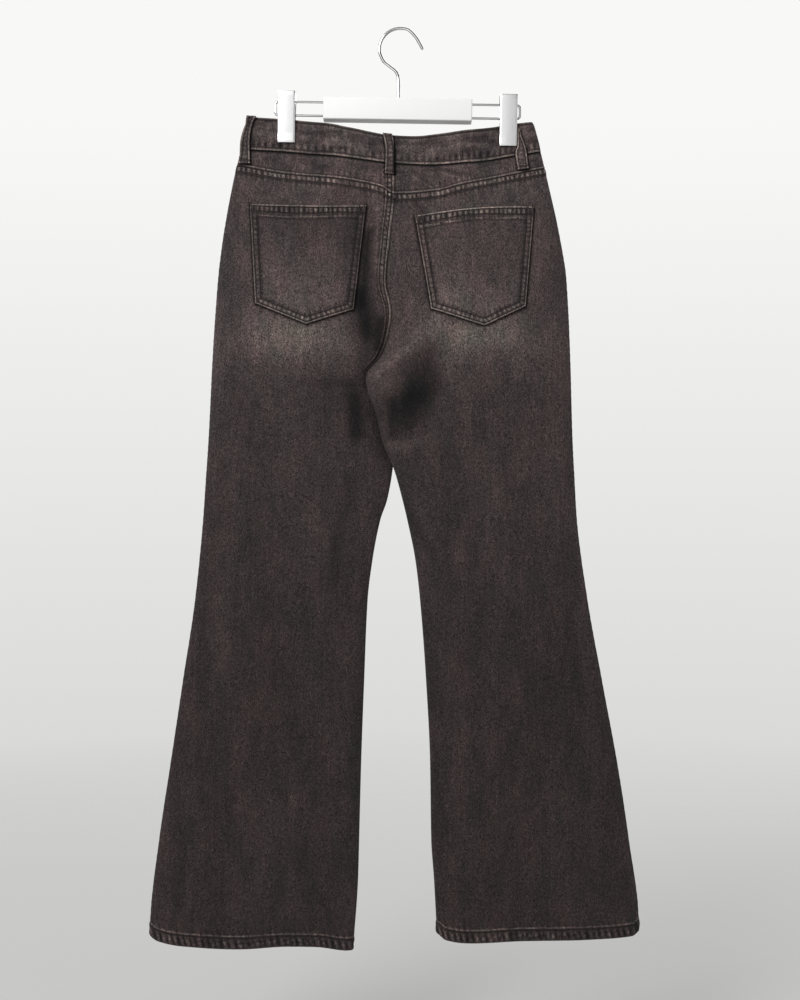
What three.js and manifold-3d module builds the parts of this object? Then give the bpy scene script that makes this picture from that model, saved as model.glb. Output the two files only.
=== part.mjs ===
// Flared jeans, back view, held flat by a clip hanger.
// Millimetres, +Z up, +X to the right and the back of the jeans towards -Y.
// The origin is where the hook rests, under the crown of its curve.
// "drop" is how far a place lies below that origin.
import * as THREE from "three";
import { mergeVertices } from "three/addons/utils/BufferGeometryUtils.js";
import Module from "manifold-3d";

const wasm = await Module();
wasm.setup();

// Driving sizes of the cloth
const wall = 1.4;
const bandWall = 3;
const bandProud = 0.6;
const seamGap = 0.3;
const seamStrip = 9;
const stripProud = 0.8;
const hemTall = 14;
const hemProud = 1;
const edgeStep = 1;
const roundness = 0.8;
const clothLeftOfHook = 3.25;
const crotchDrop = 433;
const turnStarts = 250;
const frontDip = 8;
const waistMiddle = -10.5;
const waistHalf = 187;
const stripEnds = 424;
const around = 12;

// How a fold closes: a panel's end turns fully sideways where the hollow is shallower than this
const closesUnder = 8;
const endShare = 0.001;
const slopeStep = 0.004;

// The garment's outline: the side folds, seen from behind
const sides = [
  { drop: 108, left: -186.5, right: 164.5 },
  { drop: 122, left: -190.8, right: 170.5 },
  { drop: 152, left: -197, right: 178.2 },
  { drop: 190, left: -206, right: 187.2 },
  { drop: 262, left: -219, right: 203 },
  { drop: 312, left: -225, right: 210.6 },
  { drop: 412, left: -232.1, right: 215.7 },
  { drop: 512, left: -237.2, right: 218.6 },
  { drop: 562, left: -240.6, right: 221.1 },
  { drop: 612, left: -244, right: 224 },
  { drop: 712, left: -254, right: 237.2 },
  { drop: 812, left: -269, right: 255.2 },
  { drop: 912, left: -284, right: 273.8 },
  { drop: 1012, left: -299, right: 289 },
  { drop: 1112, left: -310, right: 301 },
  { drop: 1150, left: -311, right: 301 },
];

// The centre seam down to the crotch, then each leg's inner fold
const inners = [
  { drop: 108, left: -5.5, right: -5.5 },
  { drop: 206, left: -5.5, right: -5.5 },
  { drop: 262, left: -11, right: -11 },
  { drop: 318, left: -15.5, right: -15.5 },
  { drop: 355, left: -9.5, right: -9.5 },
  { drop: 378, left: -12.5, right: -12.5 },
  { drop: 406, left: -22, right: -22 },
  { drop: 433, left: -41, right: -41 },
  { drop: 450, left: -33, right: -38 },
  { drop: 480, left: -20, right: -27 },
  { drop: 513, left: -9, right: -20 },
  { drop: 532, left: -5, right: -12 },
  { drop: 551, left: -7, right: -4.5 },
  { drop: 587, left: -13.5, right: 5.5 },
  { drop: 612, left: -22, right: 11.5 },
  { drop: 662, left: -31.8, right: 21.6 },
  { drop: 712, left: -37.9, right: 27.5 },
  { drop: 812, left: -42.2, right: 35 },
  { drop: 912, left: -45.9, right: 40 },
  { drop: 1012, left: -48.5, right: 41.5 },
  { drop: 1062, left: -49.9, right: 45 },
  { drop: 1150, left: -56.3, right: 49.5 },
];

// Half of the thickness of the hollow garment, and how far one leg lies over the other
const depths = [
  { drop: 108, half: 11, over: 0 },
  { drop: 152, half: 13, over: 0 },
  { drop: 212, half: 19, over: 0 },
  { drop: 262, half: 23, over: 0 },
  { drop: 312, half: 25, over: 0 },
  { drop: 362, half: 25, over: 0 },
  { drop: 412, half: 23, over: 0 },
  { drop: 433, half: 22, over: 0 },
  { drop: 450, half: 20, over: 10 },
  { drop: 480, half: 18, over: 11 },
  { drop: 520, half: 17, over: 11 },
  { drop: 560, half: 16.5, over: 8 },
  { drop: 625, half: 16, over: 0 },
  { drop: 762, half: 15, over: 0 },
  { drop: 962, half: 16, over: 0 },
  { drop: 1150, half: 18, over: 0 },
];
const overFades = 110;

// Edges that run across the garment, by distance from its middle line
const bandTop = [
  { x: -190, drop: 109.5 },
  { x: -140, drop: 112.5 },
  { x: -92, drop: 118 },
  { x: -60, drop: 124.5 },
  { x: -5, drop: 134.7 },
  { x: 21, drop: 135.7 },
  { x: 50, drop: 132.7 },
  { x: 90, drop: 126.5 },
  { x: 128, drop: 121 },
  { x: 150, drop: 117.5 },
  { x: 169, drop: 115.5 },
];
const waistSeam = [
  { x: -198, drop: 150 },
  { x: -150, drop: 151.8 },
  { x: -75, drop: 159.8 },
  { x: 0, drop: 169.6 },
  { x: 40, drop: 171.3 },
  { x: 90, drop: 166.9 },
  { x: 145, drop: 157.6 },
  { x: 179, drop: 152.3 },
];
const yokeSeam = [
  { x: -202, drop: 169.5 },
  { x: -142, drop: 180 },
  { x: -104, drop: 184.4 },
  { x: -67, drop: 189.5 },
  { x: -39, drop: 194.5 },
  { x: -20, drop: 199.5 },
  { x: -6, drop: 208 },
  { x: 0, drop: 208 },
  { x: 49, drop: 204 },
  { x: 76, drop: 196.6 },
  { x: 116, drop: 187.2 },
  { x: 150, drop: 180 },
  { x: 186, drop: 172.6 },
];
const hemEdge = [
  { x: -311, drop: 1129 },
  { x: -299, drop: 1136 },
  { x: -267, drop: 1141 },
  { x: -195, drop: 1143.5 },
  { x: -139, drop: 1140.5 },
  { x: -102, drop: 1141.7 },
  { x: -57, drop: 1148.6 },
  { x: 48, drop: 1128 },
  { x: 60, drop: 1135 },
  { x: 82, drop: 1137.5 },
  { x: 156, drop: 1133.5 },
  { x: 247, drop: 1132 },
  { x: 291, drop: 1130 },
  { x: 301, drop: 1124 },
];

// The two clips press the garment flat
const clipPlaces = [-139, 139];
const pinch = { flat: 19, reach: 63, half: 3.2, holds: 150, fades: 234 };

// Main folds: a ridge stands out, a trough (negative) falls in; lean is sideways travel per drop
const folds = [
  { half: "left", face: "back", x: -38, from: 225, to: 410, lean: 0, wide: 22, out: -4 },
  { half: "right", face: "back", x: 20, from: 385, to: 520, lean: 0.1, wide: 34, out: -6 },
  { half: "left", face: "back", x: -62, from: 430, to: 560, lean: -0.1, wide: 24, out: -5 },
  { half: "right", face: "back", x: 70, from: 330, to: 420, lean: -0.5, wide: 30, out: 4 },
  { half: "left", face: "back", x: -150, from: 560, to: 900, lean: -0.08, wide: 46, out: -3 },
  { half: "right", face: "back", x: 120, from: 600, to: 960, lean: 0.1, wide: 46, out: -3 },
  { half: "left", face: "back", x: -120, from: 900, to: 1150, lean: 0.05, wide: 40, out: 4 },
  { half: "right", face: "back", x: 215, from: 880, to: 1150, lean: 0.05, wide: 40, out: 4 },
  { half: "left", face: "front", x: -45, from: 330, to: 500, lean: -0.3, wide: 30, out: -6 },
  { half: "right", face: "front", x: 30, from: 330, to: 500, lean: 0.3, wide: 30, out: -6 },
  { half: "left", face: "front", x: -150, from: 600, to: 960, lean: -0.1, wide: 46, out: -4 },
  { half: "right", face: "front", x: 125, from: 600, to: 940, lean: 0.1, wide: 46, out: -4 },
  { half: "left", face: "front", x: -200, from: 900, to: 1150, lean: -0.05, wide: 44, out: 4 },
  { half: "right", face: "front", x: 130, from: 920, to: 1150, lean: 0.03, wide: 44, out: 4 },
];

// Front pocket mouths: a quarter-round scoop cut from the top outer corner
const scoop = { wide: 88, tall: 78, under: 14, curve: 0.8 };
const facingGap = 2.3;
const facingPast = 1.12;
const facingLower = 12;
const facingColumns = 9;
const mouthShares = [0.25, 0.5, 0.7, 0.84, 0.93, 0.97, 0.99, 1];
const flyWide = 38;
const flyEnds = 300;
const flyProud = 1.2;
const bandLap = 25;
const lapRamp = 22;
const bandEdge = 0.08;
const bandMiddle = 130;
const bandFoot = 150;

// Patch pockets: corners as distance from the middle line and drop
const pockets = {
  left: {
    topLeft: [-183.4, 220.3],
    topRight: [-39.5, 223.9],
    bottomLeft: [-176, 344.7],
    bottomRight: [-55.1, 352.1],
    point: [-113.3, 370.5],
    dip: 1.5,
  },
  right: {
    topLeft: [21, 237],
    topRight: [168.4, 224],
    bottomLeft: [41.2, 352.1],
    bottomRight: [157.3, 348.4],
    point: [106.7, 372.5],
    dip: -4,
  },
};
const pocketWall = 1.6;
const pocketGap = 0.5;
const pocketHem = 12;
const pocketHemProud = 0.6;
const pocketColumns = 8;

// Belt loops: rows give a loop's two edges from its folded top (0) to its sewn foot (1)
const loopWall = 1.8;
const loopFold = 1.6;
const loopSlack = 2;
const loopRise = 0.6;
const loopClear = 0.05;
const loopCrown = 0.3;
const loopSewn = 0.15;
const loops = [
  {
    name: "belt_loop_back", face: "back", top: null, foot: 15.4, edges: [
      { at: 0, left: -18.8, right: -7.2 },
      { at: 0.4, left: -15.2, right: -3.2 },
      { at: 1, left: -16, right: -3.6 },
    ],
  },
  {
    name: "belt_loop_back_left", face: "back", top: null, foot: 18.4, edges: [
      { at: 0, left: -186.2, right: -176.5 },
      { at: 0.12, left: -187.8, right: -180.5 },
      { at: 0.3, left: -191, right: -183.2 },
      { at: 0.6, left: -194.4, right: -184.6 },
      { at: 1, left: -197.2, right: -184.2 },
    ],
  },
  {
    name: "belt_loop_back_right", face: "back", top: 125, foot: 19.6, edges: [
      { at: 0, left: 149, right: 151.4 },
      { at: 0.2, left: 148.9, right: 154.2 },
      { at: 0.42, left: 148.8, right: 158 },
      { at: 0.56, left: 146.4, right: 159.8 },
      { at: 1, left: 149.4, right: 162.6 },
    ],
  },
  {
    name: "belt_loop_front_left", face: "front", top: null, foot: 14, edges: [
      { at: 0, left: -92, right: -80 },
      { at: 1, left: -93, right: -81 },
    ],
  },
  {
    name: "belt_loop_front_right", face: "front", top: null, foot: 14, edges: [
      { at: 0, left: 69, right: 81 },
      { at: 1, left: 70, right: 82 },
    ],
  },
];
const button = { fromCentre: 12, belowTop: 19 };
const buttonProfile = [
  [0, 0], [4, 0], [4, 1.6], [7.5, 1.6], [8.5, 2.4], [8.5, 3.8], [7.1, 5], [5.5, 4.2], [0, 4.2],
];

// Clip hanger
const hangerTilt = THREE.MathUtils.degToRad(0.9);
const hook = {
  wire: 1.9,
  curve: 26,
  free: [[27.2, -22.8], [21.9, -13.3], [16, -5.4]],
  arcFrom: 0.38,
  arcTo: 1.08,
  bend: [[-20.5, -40], [-12.5, -46.5], [-5.5, -52], [-2.6, -58]],
  shankX: -1.5,
  shankDrops: [68, 76],
  sunk: 14,
};
const block = { x: -2.1, wide: 185.6, tall: 27.8, deep: 20, top: 87, bevel: 0.8 };
const rail = { wire: 1.5, upper: 92, lower: 109, reach: 60, sunk: 22, bend: 4 };
const clip = {
  x: [-140.4, 136.2],
  wide: 21.3,
  top: 81,
  frontRise: 3.5,
  bottom: 144,
  plate: 1.1,
  topHalf: 11.5,
};
const pad = { tall: 11, half: 4.1, slope: 2, chamfer: 1 };
const ear = {
  thick: 1,
  reach: 3.2,
  top: 87,
  topHalf: 11.2,
  bottom: 114,
  bottomHalf: 8.7,
  slant: 3,
  hole: 1.85,
  inset: 2.5,
};
const spring = { inner: 1.9, outer: 3.6, turns: 4, long: 9.6 };
const fit = 0.3;

// Colours
const denim = 0x3d3432;
const materials = {
  denim: new THREE.MeshStandardMaterial({ color: denim, roughness: 0.95, metalness: 0 }),
  button: new THREE.MeshStandardMaterial({ color: 0x6d6257, roughness: 0.4, metalness: 0.9 }),
  block: new THREE.MeshStandardMaterial({ color: 0xf4f4f2, roughness: 0.45, metalness: 0 }),
  chrome: new THREE.MeshStandardMaterial({ color: 0xd8dadc, roughness: 0.12, metalness: 1 }),
  clip: new THREE.MeshStandardMaterial({ color: 0xd9dadb, roughness: 0.35, metalness: 0.9 }),
};

// Smooth reading of a short table, without overshoot
function slopeOf(table, across, wanted, i) {
  const rise = (a, b) => (table[b][wanted] - table[a][wanted]) / (table[b][across] - table[a][across]);
  if (i === 0) return rise(0, 1);
  if (i === table.length - 1) return rise(i - 1, i);
  const before = rise(i - 1, i);
  const after = rise(i, i + 1);
  if (before * after <= 0) return 0;
  return (2 * before * after) / (before + after);
}

function read(table, across, wanted, at) {
  const last = table.length - 1;
  if (at <= table[0][across]) return table[0][wanted];
  if (at >= table[last][across]) return table[last][wanted];
  let i = 0;
  while (table[i + 1][across] < at) i += 1;
  const step = table[i + 1][across] - table[i][across];
  const k = (at - table[i][across]) / step;
  const rise = table[i + 1][wanted] - table[i][wanted];
  const leaving = slopeOf(table, across, wanted, i) * step;
  const arriving = slopeOf(table, across, wanted, i + 1) * step;
  const bend = leaving * k * (1 - k) ** 2 - arriving * k * k * (1 - k);
  return table[i][wanted] + rise * k * k * (3 - 2 * k) + bend;
}

const mix = (a, b, k) => a + (b - a) * k;
const ease = (k) => THREE.MathUtils.smoothstep(k, 0, 1);
const faceSign = { back: -1, front: 1 };
const halfSign = { left: -1, right: 1 };

// One half of one face of the garment, cut level at a drop
function sectionAt(half, drop) {
  const turned = ease((drop - turnStarts) / (crotchDrop - turnStarts));
  return {
    side: read(sides, "drop", half, drop),
    inner: read(inners, "drop", half, drop),
    depth: read(depths, "drop", "half", drop),
    over: read(depths, "drop", "over", drop),
    turn: Math.PI * mix(0.5, 1, turned),
  };
}

function acrossAt(cut, s) {
  const share = (1 - Math.cos(cut.turn * s)) / (1 - Math.cos(cut.turn));
  return mix(cut.side, cut.inner, share);
}

function placeOf(cut, x) {
  const share = THREE.MathUtils.clamp((x - cut.side) / (cut.inner - cut.side), 0, 1);
  return Math.acos(1 - share * (1 - Math.cos(cut.turn))) / cut.turn;
}

function pinchAt(x, drop) {
  const nearest = Math.min(...clipPlaces.map((place) => Math.abs(x - place)));
  const beside = 1 - ease((nearest - pinch.flat) / (pinch.reach - pinch.flat));
  const below = 1 - ease((drop - pinch.holds) / (pinch.fades - pinch.holds));
  return beside * below;
}

function foldAt(half, face, x, drop) {
  let out = 0;
  for (const fold of folds) {
    if (fold.half !== half || fold.face !== face) continue;
    const k = (drop - fold.from) / (fold.to - fold.from);
    if (k <= 0 || k >= 1) continue;
    const middle = fold.x + fold.lean * (drop - fold.from);
    const near = (x - middle) / fold.wide;
    out += fold.out * Math.sin(Math.PI * k) * Math.exp(-near * near);
  }
  return out;
}

// A point on the outside of the cloth: s runs from the side fold (0) to the middle (1)
function clothPoint(half, face, s, drop) {
  const cut = sectionAt(half, drop);
  const x = acrossAt(cut, s);
  const round = Math.sin(Math.min(cut.turn * s, Math.PI)) ** roundness;
  const rounded = cut.depth * round;
  const flat = Math.min(rounded, pinch.half);
  const stands = mix(rounded, flat, pinchAt(x, drop)) + foldAt(half, face, x, drop) * round;
  const away = Math.abs(x - cut.inner) / overFades;
  const shift = -halfSign[half] * cut.over * (1 - ease(away));
  const y = faceSign[face] * (stands + seamGap / 2) + shift;
  return new THREE.Vector3(x - clothLeftOfHook, y, -drop);
}

function clothNormal(half, face, s, drop) {
  const outwards = halfSign[half];
  const cut = sectionAt(half, drop);
  if (s < endShare) return new THREE.Vector3(outwards, 0, 0);
  if (s > 1 - endShare) {
    const open = cut.depth * Math.sin(Math.min(cut.turn, Math.PI)) ** roundness;
    const sideways = 1 - THREE.MathUtils.clamp(open / closesUnder, 0, 1);
    return new THREE.Vector3(-outwards * sideways, faceSign[face] * (1 - sideways), 0).normalize();
  }
  const after = clothPoint(half, face, s + slopeStep, drop);
  const across = after.sub(clothPoint(half, face, s - slopeStep, drop));
  const down = clothPoint(half, face, s, drop + 1).sub(clothPoint(half, face, s, drop - 1));
  const normal = across.cross(down).normalize();
  return normal.y * faceSign[face] < 0 ? normal.negate() : normal;
}

// The same, found from a distance across instead of s
function clothAt(half, face, x, drop, out) {
  const s = placeOf(sectionAt(half, drop), x);
  return clothPoint(half, face, s, drop).addScaledVector(clothNormal(half, face, s, drop), out);
}

// A closed wall from a grid of outer and inner points
function wallGeometry(grid) {
  const rows = grid.length;
  const columns = grid[0].length;
  const points = [];
  for (const layer of ["outer", "inner"]) {
    for (const row of grid) {
      for (const place of row) points.push(place[layer]);
    }
  }
  const at = (layer, i, j) => layer * rows * columns + i * columns + j;
  const index = [];
  const quad = (a, b, c, d) => index.push(a, b, c, a, c, d);
  for (let i = 0; i < rows - 1; i += 1) {
    for (let j = 0; j < columns - 1; j += 1) {
      quad(at(0, i, j), at(0, i + 1, j), at(0, i + 1, j + 1), at(0, i, j + 1));
      quad(at(1, i, j), at(1, i, j + 1), at(1, i + 1, j + 1), at(1, i + 1, j));
    }
  }
  for (let i = 0; i < rows - 1; i += 1) {
    quad(at(0, i, 0), at(1, i, 0), at(1, i + 1, 0), at(0, i + 1, 0));
    const end = columns - 1;
    quad(at(0, i, end), at(0, i + 1, end), at(1, i + 1, end), at(1, i, end));
  }
  for (let j = 0; j < columns - 1; j += 1) {
    quad(at(0, 0, j), at(0, 0, j + 1), at(1, 0, j + 1), at(1, 0, j));
    const end = rows - 1;
    quad(at(0, end, j), at(1, end, j), at(1, end, j + 1), at(0, end, j + 1));
  }
  return facingOut(points, index);
}

function facingOut(points, index) {
  let volume = 0;
  for (let i = 0; i < index.length; i += 3) {
    const [a, b, c] = [points[index[i]], points[index[i + 1]], points[index[i + 2]]];
    volume += a.dot(b.clone().cross(c));
  }
  if (volume < 0) index.reverse();
  const geometry = new THREE.BufferGeometry().setFromPoints(points);
  geometry.setIndex(index);
  return geometry;
}

// A cloth panel: rows say their drop at a distance x, columns their place s on a row
function panelGeometry(half, face, rows, columnsAt, inside = 0) {
  const grid = rows.map((row) => {
    let xs = columnsAt(row, row.drop(0)).map((column) => ({ ...column, drop: row.drop(0) }));
    for (let pass = 0; pass < 3; pass += 1) {
      xs = xs.map((column, j) => {
        const cut = sectionAt(half, column.drop);
        const s = columnsAt(row, column.drop)[j].s;
        return { ...column, s, drop: row.drop(acrossAt(cut, s)) };
      });
    }
    return xs.map(({ s, drop, proud }) => {
      const point = clothPoint(half, face, s, drop);
      const normal = clothNormal(half, face, s, drop);
      const strip = drop < stripEnds && Math.abs(normal.x) < 0.5 ? proud : 0;
      const raised = Math.max(row.proud, strip);
      point.x += s > 1 - endShare ? halfSign[half] * seamGap / 2 : 0;
      const level = normal.clone().setZ(0).normalize();
      const edge = row.level ? level : normal;
      return {
        outer: point.clone().addScaledVector(edge, raised - inside),
        inner: point.clone().addScaledVector(edge, -wall - inside),
      };
    });
  });
  return wallGeometry(grid);
}

const plainRow = (drop) => ({ drop: () => drop, proud: 0, level: false });
const edgeRow = (edge, below, proud) => ({
  drop: (x) => read(edge, "x", "drop", x) + below,
  proud,
  level: true,
});
const blendRow = (edge, below, level, k) => ({
  drop: (x) => mix(read(edge, "x", "drop", x) + below, level, k),
  proud: 0,
  level: false,
});

function evenly(count, from = 0, to = 1) {
  return Array.from({ length: count + 1 }, (_, i) => mix(from, to, i / count));
}

// Level rows down a leg, closer together about the crotch
const seatDrops = [300, 330, 358, 382, 402, 419];
const crotchDrops = [433, 441, 450, 465, 482, 500, 520, 540, 562, 588];
const legDrops = evenly(7, 620, 1080);
const levelDrops = [...seatDrops, ...crotchDrops, ...legDrops];

function legRows() {
  const last = levelDrops[levelDrops.length - 1];
  const hemTop = -hemTall - edgeStep;
  return [
    ...levelDrops.map(plainRow),
    blendRow(hemEdge, hemTop, last, 0.5),
    edgeRow(hemEdge, hemTop, 0),
    edgeRow(hemEdge, -hemTall, hemProud),
    edgeRow(hemEdge, 0, hemProud),
  ];
}

function backRows() {
  const under = seamStrip + edgeStep;
  return [
    edgeRow(yokeSeam, seamGap / 2, stripProud),
    edgeRow(yokeSeam, seamStrip, stripProud),
    edgeRow(yokeSeam, under, 0),
    ...[0.25, 0.5, 0.75].map((k) => blendRow(yokeSeam, under, levelDrops[0], k)),
    ...legRows(),
  ];
}

function yokeRows() {
  const between = (k) => ({
    drop: (x) => mix(
      read(waistSeam, "x", "drop", x) + seamGap / 2,
      read(yokeSeam, "x", "drop", x) - seamGap / 2,
      k,
    ),
    proud: 0,
    level: true,
  });
  return evenly(3).map(between);
}

// The front's upper edges hang a little lower than the back's, most at the middle
function frontDipAt(x) {
  const away = (x - waistMiddle) / waistHalf;
  return frontDip * Math.max(0, 1 - away * away);
}

const frontWaist = (x) => read(waistSeam, "x", "drop", x) + frontDipAt(x);

// On the left half the last columns carry the raised strip of the felled centre seam
function backColumns(half) {
  return (row, drop) => {
    if (half === "right") return evenly(around).map((s) => ({ s, proud: 0 }));
    const cut = sectionAt(half, drop);
    const strip = placeOf(cut, cut.inner - seamStrip);
    const foot = placeOf(cut, cut.inner - seamStrip - edgeStep);
    return [
      ...evenly(around - 1, 0, foot).map((s) => ({ s, proud: 0 })),
      { s: strip, proud: stripProud },
      { s: 1, proud: stripProud },
    ];
  };
}

// The front's outer edge follows the pocket mouth down to the side seam
function scoopShare(half, drop, x) {
  const down = (drop - frontWaist(x)) / scoop.tall;
  if (down >= 1) return 0;
  return (1 - THREE.MathUtils.clamp(down, 0, 1) ** 2) ** scoop.curve;
}

function frontColumns(half) {
  return (row, drop) => {
    const cut = sectionAt(half, drop);
    const reach = scoop.wide * scoopShare(half, drop, cut.side - halfSign[half] * scoop.wide);
    const mouth = placeOf(cut, cut.side - halfSign[half] * reach);
    const fly = half === "left" && drop < flyEnds;
    const flap = placeOf(cut, cut.inner - flyWide);
    const flapFoot = placeOf(cut, cut.inner - flyWide - edgeStep);
    if (half === "right") return evenly(around, mouth, 1).map((s) => ({ s, proud: 0 }));
    return [
      ...evenly(around - 4, mouth, flapFoot).map((s) => ({ s, proud: 0 })),
      ...evenly(2, flap, 1).map((s) => ({ s, proud: fly ? flyProud : 0 })),
    ];
  };
}

function frontRows() {
  const start = { drop: (x) => frontWaist(x) + seamGap / 2, proud: 0, level: true };
  const mouthRow = (k) => ({ drop: (x) => frontWaist(x) + scoop.tall * k, proud: 0, level: false });
  const end = levelDrops[0];
  const belowMouth = (k) => ({
    drop: (x) => mix(frontWaist(x) + scoop.tall, end, k),
    proud: 0,
    level: false,
  });
  return [
    start,
    ...mouthShares.map(mouthRow),
    ...[0.35, 0.7].map(belowMouth),
    ...legRows(),
  ];
}

// The denim facing behind a pocket mouth, one wall further in
function facingGeometry(half) {
  const rows = [0, ...mouthShares, facingPast].map((k) => ({
    drop: (x) => frontWaist(x) + seamGap / 2 + scoop.tall * k,
    proud: 0,
    level: true,
  }));
  const columns = (row, drop) => {
    const cut = sectionAt(half, drop);
    const reach = scoop.wide * scoopShare(half, drop - facingLower, cut.side - halfSign[half] * scoop.wide);
    const end = placeOf(cut, cut.side - halfSign[half] * (reach + scoop.under));
    return evenly(facingColumns, 0, end).map((s) => ({ s, proud: 0 }));
  };
  return panelGeometry(half, "front", rows, columns, wall + facingGap);
}

// The waistband runs once round, its two ends lapped at the centre front
function bandGeometry() {
  const steps = 2 * around;
  const ring = [];
  const lay = (half, face, list, lap) => list.forEach((s) => ring.push({ half, face, s, lap }));
  lay("right", "front", evenly(steps).reverse(), "under");
  lay("right", "back", evenly(steps).slice(1), "none");
  lay("left", "back", evenly(steps).reverse().slice(1), "none");
  lay("left", "front", evenly(steps).slice(1), "over");
  const cut = sectionAt("right", bandFoot);
  const lapEnd = placeOf(cut, cut.inner + bandLap);
  lay("right", "front", evenly(2, 1, lapEnd).slice(1), "top");
  const rows = [
    { at: 0, proud: 0 },
    { at: bandEdge, proud: bandProud },
    { at: 1 - bandEdge, proud: bandProud },
    { at: 1, proud: 0 },
  ];
  const dip = (face, x) => (face === "front" ? frontDipAt(x) : 0);
  const grid = rows.map((row) => ring.map(({ half, face, s, lap }) => {
    let drop = bandMiddle;
    for (let pass = 0; pass < 3; pass += 1) {
      const x = acrossAt(sectionAt(half, drop), s);
      const top = read(bandTop, "x", "drop", x) + dip(face, x);
      const foot = read(waistSeam, "x", "drop", x) + dip(face, x) - seamGap / 2;
      drop = mix(top, foot, row.at);
    }
    const x = acrossAt(sectionAt(half, drop), s);
    const toMiddle = Math.abs(x - sectionAt(half, drop).inner);
    let lift = 0;
    if (lap === "top") lift = 1;
    if (lap === "over") lift = 1 - ease(toMiddle / lapRamp);
    const point = clothPoint(half, face, s, drop);
    const normal = clothNormal(half, face, s, drop).setZ(0).normalize();
    if (s < endShare) point.y = 0;
    const out = lift * (bandWall + bandProud + seamGap);
    return {
      outer: point.clone().addScaledVector(normal, out + row.proud),
      inner: point.clone().addScaledVector(normal, out + bandProud - bandWall),
    };
  }));
  return wallGeometry(grid);
}

function pocketGeometry(half) {
  const shape = pockets[half];
  const across = evenly(pocketColumns);
  const tall = shape.bottomLeft[1] - shape.topLeft[1];
  const hem = pocketHem / tall;
  const rows = [
    { k: 0, proud: pocketHemProud },
    { k: hem, proud: pocketHemProud },
    { k: hem + edgeStep / tall, proud: 0 },
    ...evenly(7, 0.2, 1).map((k) => ({ k, proud: 0 })),
  ];
  const pointX = (shape.point[0] - shape.bottomLeft[0]) / (shape.bottomRight[0] - shape.bottomLeft[0]);
  const columns = across.map((a) => (Math.abs(a - pointX) < 0.5 / pocketColumns ? pointX : a));
  const grid = rows.map(({ k, proud }) => columns.map((a) => {
    const left = mix(shape.topLeft[0], shape.bottomLeft[0], k);
    const right = mix(shape.topRight[0], shape.bottomRight[0], k);
    const x = mix(left, right, a);
    const bow = shape.dip * Math.sin(Math.PI * a);
    const top = mix(shape.topLeft[1], shape.topRight[1], a) + bow;
    const corner = a < pointX ? shape.bottomLeft[1] : shape.bottomRight[1];
    const toPoint = a < pointX ? a / pointX : (1 - a) / (1 - pointX);
    const drop = mix(top, mix(corner, shape.point[1], toPoint), k);
    return {
      outer: clothAt(half, "back", x, drop, pocketGap + pocketWall + proud),
      inner: clothAt(half, "back", x, drop, pocketGap),
    };
  }));
  return wallGeometry(grid);
}

// A belt loop: a strip sewn at both ends that stands off the band between them
function loopGeometry(loop) {
  const rows = [0, 0.05, 0.12, 0.2, 0.4, 0.6, 0.8, 0.88, 0.95, 1];
  const middle = (loop.edges[0].left + loop.edges[0].right) / 2;
  const half = middle < inners[0].left ? "left" : "right";
  const grid = rows.map((at) => {
    const left = read(loop.edges, "at", "left", at);
    const right = read(loop.edges, "at", "right", at);
    const folded = at < loopSewn || at > 1 - loopSewn;
    const stands = bandProud + seamGap + loopClear + loopSlack * Math.sin(Math.PI * at) ** 2;
    const thick = loopWall + (folded ? loopFold : 0);
    return [0, 0.5, 1].map((a) => {
      const x = mix(left, right, a);
      const dip = loop.face === "front" ? frontDipAt(x) : 0;
      const top = loop.top ?? read(bandTop, "x", "drop", x) + dip - loopRise;
      const foot = read(waistSeam, "x", "drop", x) + dip + loop.foot;
      const drop = mix(top, foot, at);
      const crown = a === 0.5 ? loopCrown : 0;
      return {
        outer: clothAt(half, loop.face, x, drop, stands + thick + crown),
        inner: clothAt(half, loop.face, x, drop, stands),
      };
    });
  });
  return wallGeometry(grid);
}

// Helpers for the hanger's solids
function toSolid(geometry) {
  const bare = geometry.clone();
  bare.deleteAttribute("normal");
  bare.deleteAttribute("uv");
  const merged = mergeVertices(bare, 1e-4);
  return new wasm.Manifold(new wasm.Mesh({
    numProp: 3,
    vertProperties: new Float32Array(merged.attributes.position.array),
    triVerts: new Uint32Array(merged.index.array),
  }));
}

function fromSolid(solid) {
  const mesh = solid.getMesh();
  const geometry = new THREE.BufferGeometry();
  geometry.setAttribute("position", new THREE.BufferAttribute(mesh.vertProperties, 3));
  geometry.setIndex(new THREE.BufferAttribute(mesh.triVerts, 1));
  return geometry;
}

function boxBetween(low, high) {
  const size = high.map((value, i) => value - low[i]);
  const box = new THREE.BoxGeometry(...size);
  return box.translate(...low.map((value, i) => value + size[i] / 2));
}

// A round rod along X
function rodAlongX(radius, x0, x1, z, sidesRound = 16) {
  const rod = new THREE.CylinderGeometry(radius, radius, x1 - x0, sidesRound);
  return rod.rotateZ(Math.PI / 2).translate((x0 + x1) / 2, 0, z);
}

function wireGeometry(points, radius, steps, sidesRound) {
  const curve = new THREE.CatmullRomCurve3(points, false, "centripetal");
  const circle = new THREE.Shape(evenly(sidesRound, 0, 2 * Math.PI).slice(0, -1).map((turn) => (
    new THREE.Vector2(radius * Math.cos(turn), radius * Math.sin(turn))
  )));
  return new THREE.ExtrudeGeometry(circle, { steps, extrudePath: curve, bevelEnabled: false });
}

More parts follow.
